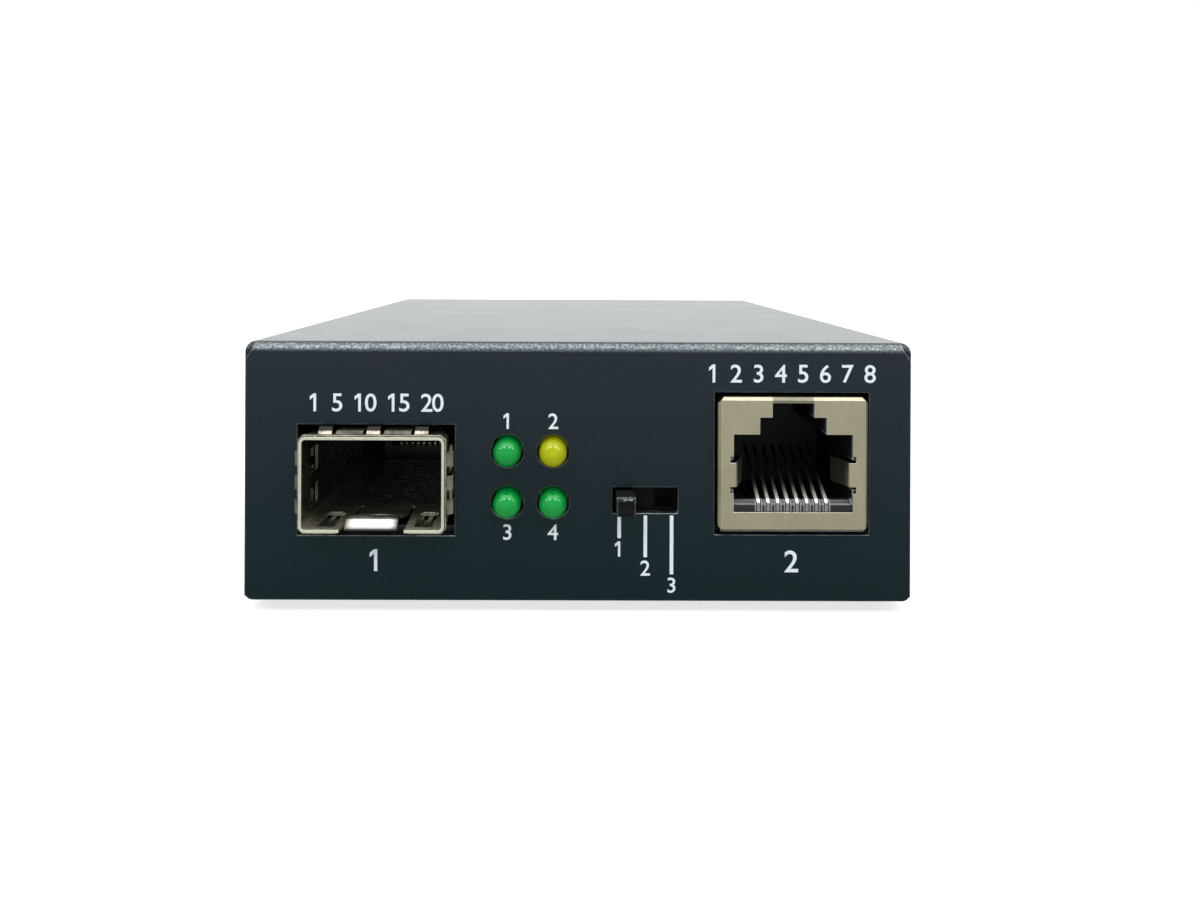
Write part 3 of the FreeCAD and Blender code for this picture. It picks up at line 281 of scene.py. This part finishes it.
def shield_nickel():
    """Brushed nickel round the network socket, pale along its edges, with painted shade inside the mouth,
    over its key and at its clipped corners.
    """
    f = Finish("shield_nickel")
    low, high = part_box("lan_jack_shield")
    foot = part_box("lan_jack_housing")[0].z
    height = f.part("Z")
    aside = f.away(f.part("X"), middle_of("lan_jack_shield").x)
    cloud = f.noise(4 * MM, 4.0, 0.6)
    marks = f.noise(0.6 * MM, 4.0, 0.65, (1, 1, 0.3))
    tone = f.mixed(f.ramp(cloud, *PATCHES), rgb(169, 164, 140), rgb(161, 156, 132))
    tone = f.mixed(f.ramp(marks, 0.45, 0.8, 0.0, 0.3), tone, rgb(140, 136, 114))
    # Painted shade inside the mouth
    inside = f.ramp(f.part("Y"), low.y + 0.35 * MM, low.y + 0.9 * MM)
    tone = f.mixed(inside * 0.75, tone, rgb(74, 76, 74))
    tone = f.mixed(f.edges(SHEET_RUB) * 0.8, tone, rgb(240, 237, 226))

    # Painted shade on a brow over the key of the mouth, and clipped corners painted near black as painted
    # shade
    brow_shade = f.fall(aside, 2.1 * MM, 2.2 * MM) * f.ramp(height, high.z - 0.6 * MM, high.z - 0.5 * MM)
    tone = f.mixed(brow_shade * 0.75, tone, rgb(96, 94, 84))
    level = f.away(height, (foot + high.z) / 2)
    reach = (high.x - low.x + high.z - foot) / 2
    corner_shade = f.ramp(aside + level, reach - 0.64 * MM, reach - 0.56 * MM)
    tone = f.mixed(corner_shade, tone, rgb(7, 8, 8))
    rough = f.ramp(marks, *WHOLE, 0.34, 0.46)
    return f.close(tone, rough, f.bumped(marks, 0.0008 * MM, SHEET_ROUND), metallic=1.0)


def contact_wire():
    """Plated spring wires of the network socket, with a painted highlight where they bend over the front bar,
    fading deeper in.
    """
    f = Finish("contact_wire")
    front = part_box("lan_jack_contacts")[0].y
    along = f.part("Y")
    marks = f.noise(0.25 * MM, 4.0, 0.65, (1, 0.1, 1))
    # Painted highlight where the wires bend over the front bar, fading deeper in; the highlight is also less
    # metallic
    near = f.fall(along, front + 0.5 * MM, front + 2.9 * MM)
    near = near * near
    leg = f.fall(along, front + 0.1 * MM, front + 0.25 * MM)
    tone = f.mixed(f.ramp(marks, *PATCHES), rgb(196, 192, 176), rgb(176, 170, 150))
    tone = f.mixed(near * 0.8, tone, rgb(228, 230, 226))
    tone = f.mixed(leg, tone, rgb(150, 149, 143))
    bare = 1 - near * (1 - leg) * 0.5
    rough = f.ramp(marks, *WHOLE, 0.16, 0.28)
    return f.close(tone, rough, f.bumped(marks, 0.0012 * MM, SHEET_ROUND), metallic=bare)


def socket_plastic():
    """Black moulding of the network socket: painted shade near black inside, its front bar lighter, with a
    painted highlight along the bar's edges.
    """
    f = Finish("socket_plastic")
    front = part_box("lan_jack_housing")[0].y
    edge = 0.3 * MM
    bar = f.fall(f.part("Y"), front + 1.0 * MM, front + 2.0 * MM)
    cloud = f.noise(3 * MM, 3.0, 0.5)
    grain = f.noise(0.3 * MM, 3.0, 0.6)
    tone = f.mixed(f.ramp(cloud, *PATCHES), rgb(5, 6, 7), rgb(8, 9, 10))
    # The front bar is left lighter than the painted shade inside, and its edges take a painted highlight
    tone = f.mixed(bar * 0.4, tone, rgb(40, 42, 46))
    tone = f.mixed(f.edges(edge) * bar, tone, rgb(188, 190, 200))
    rough = f.ramp(cloud + grain, 0.7, 1.3, 0.5, 0.62) - bar * 0.25
    return f.close(tone, rough, f.bumped(grain, 0.005 * MM, edge), specular_ior_level=0.35)


def knob_plastic():
    """Black moulded knob, its sides and top edge paler near the front, and a painted highlight glinting along
    its top front edge.
    """
    f = Finish("knob_plastic")
    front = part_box("switch_knob")[0].y
    middle = middle_of("switch_knob")
    along = f.part("Y")
    crown = f.ramp(f.part("Z"), middle.z + 0.5 * MM, middle.z + 0.8 * MM)
    side = f.ramp(f.away(f.part("X"), middle.x), 0.76 * MM, 0.9 * MM)
    pale_rim = f.add("ShaderNodeMath", {"operation": "MAXIMUM"}, {0: side, 1: crown})
    pale_rim = pale_rim * f.ramp(along, front + 0.2 * MM, front + 0.4 * MM, 1.0, 0.02)
    smear = f.ramp(f.noise(0.45 * MM, 4.0, 0.7), *PATCHES, 0.15, 1.0)
    grain = f.noise(0.2 * MM, 3.0, 0.6)
    tone = f.mixed(grain, rgb(2, 5, 5), rgb(8, 12, 12))
    tone = f.mixed(pale_rim * smear * 0.27, tone, rgb(136, 148, 146))
    # Painted highlight glinting along the top front edge
    ahead = f.fall(along, front + 0.2 * MM, front + 0.5 * MM)
    glint = f.ramp(f.noise(0.2 * MM, 3.0, 0.7), 0.54, 0.64) * crown * ahead
    tone = f.mixed(glint * 0.8, tone, rgb(220, 226, 222))
    rough = f.ramp(grain, *WHOLE, 0.26, 0.4) + crown * (1 - ahead) * 0.45
    return f.close(tone, rough, f.bumped(grain, 0.01 * MM, 0.08 * MM), specular_ior_level=0.14)


def board_green():
    """Green solder mask over copper tracks, with a pale tin rim round the holes, shaded behind the panel."""
    f = Finish("board_green")
    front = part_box("circuit_board")[0].y
    wander = f.noise(6 * MM, 1.0, 0.5)
    lanes = f.add("ShaderNodeMath", {"operation": "PINGPONG"},
                  {0: f.part("X") + wander * (4 * MM), 1: 0.7 * MM})
    track = f.ramp(lanes, 0.42 * MM, 0.48 * MM)
    cloud = f.noise(5 * MM, 3.0, 0.5)
    tone = f.mixed(track * 0.6, rgb(4, 38, 22), rgb(14, 62, 36))
    tone = f.mixed(f.ramp(cloud, 0.4, 0.7, 0.0, 0.3), tone, rgb(3, 28, 17))
    tone = f.mixed(f.edges(0.12 * MM) * 0.5, tone, rgb(110, 112, 84))
    tone = f.mixed(f.ramp(f.part("Y"), front + 8 * MM, front + 14 * MM, 0.85, 0.0), tone, rgb(3, 9, 8))
    return f.close(tone, f.ramp(cloud, *WHOLE, 0.28, 0.4), f.bumped(track, 0.03 * MM))


def screen_ink():
    """White screen-printed ink, a little thin in spots."""
    f = Finish("screen_ink")
    grain = f.noise(0.12 * MM, 3.0, 0.6)
    tone = f.mixed(f.ramp(grain, 0.4, 0.75, 0.0, 0.45), rgb(222, 230, 236), rgb(160, 172, 180))
    return f.close(tone, f.ramp(grain, *WHOLE, 0.5, 0.62), f.bumped(grain, 0.004 * MM))


def capacitor_sleeve():
    """Black sleeve with a pale stripe down one side, and a bare aluminium top."""
    f = Finish("capacitor_sleeve")
    low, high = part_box("capacitor_large")
    top = f.ramp(f.part("Z"), high.z - 0.25 * MM, high.z - 0.2 * MM)
    stripe = f.fall(f.part("X"), low.x + 0.9 * MM, low.x + 1.0 * MM)
    cloud = f.noise(2 * MM, 3.0, 0.5)
    tone = f.mixed(stripe, rgb(22, 24, 30), rgb(176, 180, 182))
    tone = f.mixed(top, tone, rgb(190, 192, 194))
    return f.close(tone, f.ramp(cloud, *WHOLE, 0.26, 0.36), f.bumped(cloud, 0.01 * MM), metallic=top)


def lamp_epoxy(name, deep, pale, sheen):
    """Tinted diffusing epoxy: deeper round its side, paler at its nose."""
    f = Finish(name)
    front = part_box("lamp_upper_left")[0].y
    nose = f.fall(f.part("Y"), front, front + 1.6 * MM)
    cloud = f.noise(0.7 * MM, 3.0, 0.5)
    tone = f.mixed(nose * f.ramp(cloud, 0.2, 0.8, 0.7, 1.0), rgb(*deep), rgb(*pale))
    ripple = f.bumped(f.noise(0.5 * MM, 2.0, 0.5), 0.002 * MM)
    return f.close(tone, f.ramp(cloud, *WHOLE, 0.06, 0.09), ripple, emission_color=tone,
                   emission_strength=0.32, specular_ior_level=0.5, specular_tint=sheen)


def metal(name, tint, second, rough, grain=(1, 1, 1), size=0.5, scratch=0.0012, rub=(235, 233, 225),
          wear=0.6):
    """Plated metal: two close tints, bright worn edges, and drawn marks whose size and depth are in mm."""
    f = Finish(name)
    cloud = f.noise(4 * MM, 4.0, 0.6)
    marks = f.noise(size * MM, 4.0, 0.65, grain)
    tone = f.mixed(f.ramp(cloud, *PATCHES), rgb(*tint), rgb(*second))
    tone = f.mixed(f.ramp(marks, 0.45, 0.8, 0.0, 0.3), tone, rgb(*[c * 0.85 for c in tint]))
    tone = f.mixed(f.edges(SHEET_RUB) * wear, tone, rgb(*rub))
    roughness = f.ramp(marks, *WHOLE, rough - 0.06, rough + 0.08)
    return f.close(tone, roughness, f.bumped(marks, scratch * MM, SHEET_ROUND), metallic=1.0)


def plastic(name, tint, second, rough, size=0.3, depth=0.006, rub=(70, 72, 74), wear=0.35, radius=0.1,
            **fixed):
    """Moulded plastic: two close tints, light on its edges, and a spark texture whose sizes are in mm."""
    f = Finish(name)
    cloud = f.noise(3 * MM, 3.0, 0.5)
    grain = f.noise(size * MM, 3.0, 0.6)
    tone = f.mixed(f.ramp(cloud, *PATCHES), rgb(*tint), rgb(*second))
    tone = f.mixed(f.edges(radius * MM) * wear, tone, rgb(*rub))
    roughness = f.ramp(cloud + grain, 0.7, 1.3, rough - 0.05, rough + 0.07)
    return f.close(tone, roughness, f.bumped(grain, depth * MM, radius * MM), **fixed)


METALS = {
    "black_zinc": dict(tint=(44, 46, 48), second=(34, 36, 40), rough=0.34, rub=(150, 150, 148), wear=0.5),
    # A darker copy of black zinc with dim edges, for the switch frame down in its slot: painted shade
    "frame_zinc_shaded": dict(tint=(24, 25, 26), second=(17, 18, 20), rough=0.5, rub=(46, 47, 48), wear=0.3),
    "plated_steel": dict(tint=(176, 176, 170), second=(158, 158, 152), rough=0.32),
    "contact_gold": dict(tint=(206, 200, 178), second=(188, 180, 152), rough=0.2, grain=(1, 0.1, 1),
                         size=0.25),
    "tin_lead": dict(tint=(190, 190, 186), second=(165, 165, 160), rough=0.36),
    "sink_aluminium": dict(tint=(186, 188, 190), second=(172, 174, 178), rough=0.34, grain=(1, 0.08, 1),
                           size=0.4, scratch=0.003),
    "crystal_can": dict(tint=(200, 200, 196), second=(184, 184, 180), rough=0.22, grain=(0.1, 1, 1),
                        size=0.3),
}
PLASTICS = {
    "foot_rubber": dict(tint=(24, 24, 25), second=(32, 32, 33), rough=0.72, size=0.4, depth=0.02,
                        rub=(58, 58, 58), wear=0.3),
    "black_plastic": dict(tint=(22, 23, 25), second=(30, 31, 33), rough=0.38),
    "slide_plastic": dict(tint=(8, 8, 8), second=(12, 12, 12), rough=0.6, size=0.25, depth=0.008,
                          rub=(20, 20, 20), wear=0.3, specular_ior_level=0.15),
    "switch_phenolic": dict(tint=(40, 33, 28), second=(32, 27, 23), rough=0.6),
    "chip_epoxy": dict(tint=(30, 31, 33), second=(38, 38, 40), rough=0.55, size=0.15, depth=0.008),
    "inductor_ferrite": dict(tint=(58, 58, 60), second=(48, 48, 50), rough=0.6, size=0.3, depth=0.02),
}
EPOXIES = {
    "lamp_green": dict(deep=(0, 92, 34), pale=(0, 136, 50), sheen=(0.6, 1.0, 0.78, 1.0)),
    "lamp_yellow": dict(deep=(112, 116, 0), pale=(154, 160, 0), sheen=(0.9, 1.0, 0.45, 1.0)),
}
finishes = {}
for make, looks in ((metal, METALS), (plastic, PLASTICS), (lamp_epoxy, EPOXIES)):
    for name, look in looks.items():
        finishes[name] = make(name, **look)
for make in (powder_coat, cage_nickel, spring_steel, shield_nickel, contact_wire, socket_plastic,
             knob_plastic, board_green, screen_ink, capacitor_sleeve):
    finishes[make.__name__] = make()

# Nodes whose finish is their own, and not that of every node in their slot
OWN_FINISH = {
    "lan_jack_housing": "socket_plastic",
    "lan_jack_contacts": "contact_wire",
    "lan_transformer": "black_plastic",
    "switch_frame": "frame_zinc_shaded",
}
for node, slot in slot_of.items():
    mesh = frame["nodes"][node].data
    mesh.materials.clear()
    mesh.materials.append(finishes[OWN_FINISH.get(node, slot)])


# Pieces


def start_fresh():
    """Leave edit mode and select nothing."""
    if bpy.context.object and bpy.context.object.mode != "OBJECT":
        bpy.ops.object.mode_set(mode="OBJECT")
    bpy.ops.object.select_all(action="DESELECT")


def select_only(piece):
    """Select that piece alone, in object mode."""
    start_fresh()
    piece.select_set(True)
    bpy.context.view_layer.objects.active = piece


def pick(wanted, kind="FACE"):
    """Select only the faces or edges whose middle and direction are wanted, and stay in edit mode."""
    piece = bpy.context.object
    bpy.ops.object.mode_set(mode="EDIT")
    bpy.ops.mesh.select_mode(type=kind)
    bpy.ops.mesh.select_all(action="DESELECT")
    bpy.ops.object.mode_set(mode="OBJECT")
    if kind == "FACE":
        for face in piece.data.polygons:
            face.select = wanted(face.center, face.normal)
    else:
        for edge in piece.data.edges:
            first, last = (piece.data.vertices[i].co for i in edge.vertices)
            edge.select = wanted((first + last) / 2, (last - first).normalized())
    bpy.ops.object.mode_set(mode="EDIT")


def round_edges(wanted, width, segments):
    """Bevel the edges that are wanted."""
    pick(wanted, "EDGE")
    bpy.ops.mesh.bevel(offset=width, segments=segments, affect="EDGES")


def block(low, high):
    """Start a piece as a block between two corners."""
    start_fresh()
    middle = (Vector(low) + Vector(high)) / 2
    bpy.ops.mesh.primitive_cube_add(size=1, location=middle)
    bpy.context.object.scale = Vector(high) - Vector(low)
    bpy.ops.object.transform_apply(location=True, rotation=True, scale=True)
    return bpy.context.object


def finished(piece, name, slot, body, angle=40, finish=None):
    """Name a piece, smooth its gentle bends, and give it its finish and the body that it rides on."""
    select_only(piece)
    bpy.ops.object.shade_smooth_by_angle(angle=math.radians(angle))
    piece.name = name
    piece.data.name = name
    piece.data.materials.clear()
    piece.data.materials.append(finishes[finish or slot])
    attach(piece, body)
    return piece


def copied(piece, name, shift):
    """Another of a piece, with its own mesh, moved over."""
    select_only(piece)
    bpy.ops.object.duplicate(linked=False)
    other = bpy.context.object
    other.location = shift
    bpy.ops.object.transform_apply(location=True, rotation=False, scale=False)
    other.name = name
    other.data.name = name
    return other


def lens():
    """One lamp: a round body with a smooth domed nose, made at the upper left lamp's place."""
    low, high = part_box("lamp_upper_left")
    centre = middle_of("lamp_upper_left")
    play = 0.955            # share of the lamp's full radius that leaves a dark gap in its hole
    radius = (high.x - low.x) / 2 * play
    dome = radius * 0.82    # how far the nose stands ahead of the round body
    shoulder = low.y + dome
    rings = 9
    ring_angle = 9.8        # degrees from ring to ring, so that the last one is nearly closed
    start_fresh()
    bpy.ops.mesh.primitive_cylinder_add(vertices=56, radius=radius, depth=high.y - shoulder,
                                        location=(centre.x, (high.y + shoulder) / 2, centre.z),
                                        rotation=(math.pi / 2, 0, 0))
    bpy.ops.object.transform_apply(location=True, rotation=True, scale=True)
    pick(lambda middle, normal: normal.y < -0.9)
    here = shoulder
    wide = 1.0
    for ring in range(1, rings + 1):
        turn = math.radians(ring * ring_angle)
        ahead = shoulder - dome * math.sin(turn)
        bpy.ops.mesh.extrude_region_move(TRANSFORM_OT_translate={"value": (0, ahead - here, 0)})
        share = math.cos(turn) / wide
        bpy.ops.transform.resize(value=(share, 1, share), center_override=(centre.x, ahead, centre.z))
        here = ahead
        wide = math.cos(turn)
    bpy.ops.object.mode_set(mode="OBJECT")
    return bpy.context.object


def make_lamps():
    """Four lamps in two rows: three green and one yellow."""
    first = lens()
    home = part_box(LAMPS[0])[0]
    lamps = [first] + [copied(first, node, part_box(node)[0] - home) for node in LAMPS[1:]]
    for node, piece in zip(LAMPS, lamps):
        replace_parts(finished(piece, node.replace("lamp", "lens"), slot_of[node], "case"), node)


def make_knob():
    """Switch knob: a small block with softened edges and a dished thumb face, on its flat slide plate."""
    low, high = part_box("switch_knob")
    centre = middle_of("switch_knob")
    half_width = 1.0 * MM
    half_height = 0.98 * MM
    plate_front = high.y - 2.0 * MM
    root = 0.2 * MM
    nub = block((centre.x - half_width, low.y, centre.z - half_height),
                (centre.x + half_width, plate_front + root, centre.z + half_height))
    round_edges(lambda middle, way: middle.y < plate_front, 0.16 * MM, 3)
    pick(lambda middle, normal: normal.y < -0.99)
    bpy.ops.mesh.inset(thickness=0.2 * MM)
    bpy.ops.mesh.inset(thickness=0.3 * MM, depth=-0.25 * MM)
    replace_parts(finished(nub, "knob", "knob_plastic", "slider"), "switch_knob")
    slide = block((low.x, plate_front, low.z), high)
    round_edges(lambda middle, way: True, 0.08 * MM, 1)
    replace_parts(finished(slide, "slide", "knob_plastic", "slider", finish="slide_plastic"), "switch_knob")


def make_feet():
    """Four square rubber pads with rounded corners and a soft lower rim."""
    low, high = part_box(FEET[0])
    first = block(low, high)
    round_edges(lambda middle, way: abs(way.z) > 0.9, 1.2 * MM, 5)
    round_edges(lambda middle, way: middle.z < low.z + 0.01 * MM, 0.5 * MM, 3)
    bpy.ops.object.mode_set(mode="OBJECT")
    pads = [first] + [copied(first, node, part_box(node)[0] - low) for node in FEET[1:]]
    for node, piece in zip(FEET, pads):
        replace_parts(finished(piece, node.replace("foot", "pad"), "foot_rubber", "case", 50), node)


# Print on the panel: places are across from the middle of the front and up from the panel's foot

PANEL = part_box("cover")[0].y
PANEL_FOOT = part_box("cover")[0].z
INK = 0.02 * MM             # how thick the ink lies on the panel, and how deep it is keyed into it
POINTER_HALF = 0.19 * MM
POINTERS = (                # place across, top and bottom of each
    (4.35 * MM, 8.85 * MM, 6.6 * MM),
    (7.11 * MM, 9.0 * MM, 4.6 * MM),
    (9.88 * MM, 9.0 * MM, 2.8 * MM),
)
STOP_HEIGHT = 1.6 * MM
STOP_DROP = 1.15 * MM       # from the bottom of a pointer to the middle of its number
LAMP_HEIGHT = 1.65 * MM
LAMP_AWAY = 3.15 * MM       # from the middle of a lamp to the middle of its number
PORT_HEIGHT = 2.3 * MM
PORT_LEVEL = 4.2 * MM
WAY_HEIGHT = 1.9 * MM
WAY_STEP = 0.62             # figure to figure, as a share of their height
WAYS = {"transceiver_cage": ("1 5 10 15 20", 20.8 * MM), "lan_jack_shield": ("1 2 3 4 5 6 7 8", 24.0 * MM)}


def pointer(name, x, top, bottom):
    """Printed line from the switch's slot down to its number."""
    line = block((x - POINTER_HALF, PANEL - INK, bottom), (x + POINTER_HALF, PANEL + INK, top))
    round_edges(lambda middle, way: abs(way.y) > 0.9, 0.06 * MM, 2)
    bpy.ops.object.mode_set(mode="OBJECT")
    finished(line, name, None, "case", finish="screen_ink")


def figure_one(x, z, height):
    """Printed figure 1, a bar with a slanted flag, whose middle is at x and z."""
    half = height * 0.075
    flag = height * 0.2
    slant = 0.8
    bar = block((x - half, PANEL - INK, z - height / 2), (x + half, PANEL + INK, z + height / 2 - flag))
    pick(lambda middle, normal: normal.z > 0.9)
    bpy.ops.mesh.extrude_region_move(TRANSFORM_OT_translate={"value": (0, 0, flag)})
    pick(lambda middle, normal: normal.x < -0.9 and middle.z > z + height / 2 - flag)
    bpy.ops.mesh.extrude_region_move(TRANSFORM_OT_translate={"value": (-flag, 0, -flag * slant)})
    bpy.ops.object.mode_set(mode="OBJECT")
    return bar


def figure(sign, x, z, height):
    """Printed figure from the plain font, a little bolder than the font, whose middle is at x and z."""
    start_fresh()
    bpy.ops.object.text_add()
    shape = bpy.context.object
    shape.data.body = sign
    shape.data.extrude = 0.01
    shape.data.offset = 0.008
    shape.data.resolution_u = 6
    bpy.ops.object.convert(target="MESH")
    shape = bpy.context.object
    corners = [Vector(c) for c in shape.bound_box]
    lowest = Vector([min(c[i] for c in corners) for i in range(3)])
    highest = Vector([max(c[i] for c in corners) for i in range(3)])
    middle = (lowest + highest) / 2
    scale = height / (highest.y - lowest.y)
    shape.rotation_euler = (math.pi / 2, 0, 0)
    shape.scale = (scale, scale, 2 * INK / (highest.z - lowest.z))
    shape.location = (x - middle.x * scale, PANEL, z - middle.y * scale)
    bpy.ops.object.transform_apply(location=True, rotation=True, scale=True)
    return shape


def number(name, text, x, z, height, step=0.68):
    """Printed number or row of numbers about its middle. The step between figures is a share of height."""
    figures = []
    for i, sign in enumerate(text):
        where = x + (i - (len(text) - 1) / 2) * step * height
        if sign == "1":
            figures.append(figure_one(where, z, height))
        elif sign != " ":
            figures.append(figure(sign, where, z, height))
    select_only(figures[0])
    for shape in figures:
        shape.select_set(True)
    if len(figures) > 1:
        bpy.ops.object.join()
    finished(figures[0], name, None, "case", finish="screen_ink")


def make_print():
    """White pointers and plain numbers on the panel."""
    for i, (x, top, bottom) in enumerate(POINTERS, 1):
        pointer(f"pointer_{i}", x, PANEL_FOOT + top, PANEL_FOOT + bottom)
        number(f"stop_number_{i}", str(i), x, PANEL_FOOT + bottom - STOP_DROP, STOP_HEIGHT)
    for i, node in enumerate(LAMPS, 1):
        middle = middle_of(node)
        away = LAMP_AWAY if "upper" in node else -LAMP_AWAY
        number(f"lamp_number_{i}", str(i), middle.x, middle.z + away, LAMP_HEIGHT)
    for i, (node, (ways, level)) in enumerate(WAYS.items(), 1):
        x = middle_of(node).x
        number(f"port_number_{i}", str(i), x, PANEL_FOOT + PORT_LEVEL, PORT_HEIGHT)
        number(f"way_numbers_{i}", ways, x, PANEL_FOOT + level, WAY_HEIGHT, WAY_STEP)


make_lamps()
make_knob()
make_feet()
make_print()


# Studio

AIM = Vector((0, 0, 0.02))  # what the lamps look at
FRONT_LAMPS = (-0.75, -0.26, 0.26, 0.75)


def rays(f, *kinds):
    """1 for rays of any of these kinds."""
    total = 0.0
    for kind in kinds:
        total = f.add("ShaderNodeLightPath", out=kind) + total
    return f.ramp(total, 0.0, 1.0)


def make_floor():
    """Pale floor that is white to the camera and in reflections further out, and keeps the case's shadow."""
    start_fresh()
    bpy.ops.mesh.primitive_plane_add(size=6, location=(0, 0, 0))
    ground = bpy.context.object
    ground.name = "studio_floor"
    f = Finish("studio_floor")
    out = f.add("ShaderNodeVectorMath", {"operation": "LENGTH"}, {0: f.place}, out="Value")
    seen = rays(f, "Is Camera Ray", "Is Transmission Ray") * f.ramp(out, 0.1, 0.4, 0.75, 1.0)
    mirrored = rays(f, "Is Glossy Ray") * f.ramp(out, 0.2, 0.8)
    grain = f.mixed(f.noise(0.02, 2.0), (0.5, 0.5, 0.5, 1), (0.52, 0.52, 0.52, 1))
    matte = f.add("ShaderNodeBsdfDiffuse", {}, {"Color": grain})
    shine = f.add("ShaderNodeEmission", {}, {"Strength": seen + mirrored})
    both = f.add("ShaderNodeAddShader", {}, {0: matte, 1: shine})
    f.add("ShaderNodeOutputMaterial", {}, {"Surface": both})
    ground.data.materials.append(f.owner)


def make_world():
    """Backdrop: white to the camera and in reflections, and a plain grey fill for all other light."""
    f = Finish("studio", bpy.data.worlds)
    white = rays(f, "Is Camera Ray", "Is Glossy Ray", "Is Transmission Ray")
    sky = f.add("ShaderNodeBackground", {},
                {"Color": (1, 1, 1, 1), "Strength": f.ramp(white, 0.0, 1.0, 0.35, 1.0)})
    f.add("ShaderNodeOutputWorld", {}, {"Surface": sky})
    bpy.context.scene.world = f.owner


def soft_lamp(name, place, size, radiance, tint=(1, 1, 1)):
    """Rectangular lamp that looks at the case, as bright a surface as its radiance says."""
    lamp = bpy.data.lights.new(name, "AREA")
    lamp.shape = "RECTANGLE"
    lamp.size, lamp.size_y = size
    lamp.energy = radiance * math.pi * size[0] * size[1]
    lamp.color = tint
    holder = bpy.data.objects.new(name, lamp)
    bpy.context.scene.collection.objects.link(holder)
    holder.location = place
    holder.rotation_euler = (AIM - Vector(place)).to_track_quat("-Z", "Y").to_euler()


def make_lights():
    """Four lamps above the front, a broad one overhead and a cool one behind."""
    for i, x in enumerate(FRONT_LAMPS, 1):
        soft_lamp(f"front_lamp_{i}", (x, -0.55, 0.6), (0.24, 0.24), 7.63)
    soft_lamp("overhead", (0, -0.24, 0.6), (1.0, 0.42), 2.7)
    soft_lamp("back", (0, 0.7, 0.3), (1.2, 0.6), 0.75, (0.93, 1.0, 0.985))


def make_camera():
    """Level camera close before the front and above it, a touch turned, with its view shifted down."""
    view = bpy.data.cameras.new("view")
    view.sensor_width = 36
    view.lens = 28.16
    view.shift_x = 0.0207
    view.shift_y = -0.1629
    view.clip_start = 0.005
    stand = bpy.data.objects.new("view", view)
    bpy.context.scene.collection.objects.link(stand)
    stand.location = (-0.00078, -0.14454, 0.03799)
    stand.rotation_euler = (math.pi / 2, -0.0042, -0.0037)
    bpy.context.scene.camera = stand
    bpy.context.scene.view_settings.view_transform = "Standard"


make_floor()
make_world()
make_lights()
make_camera()
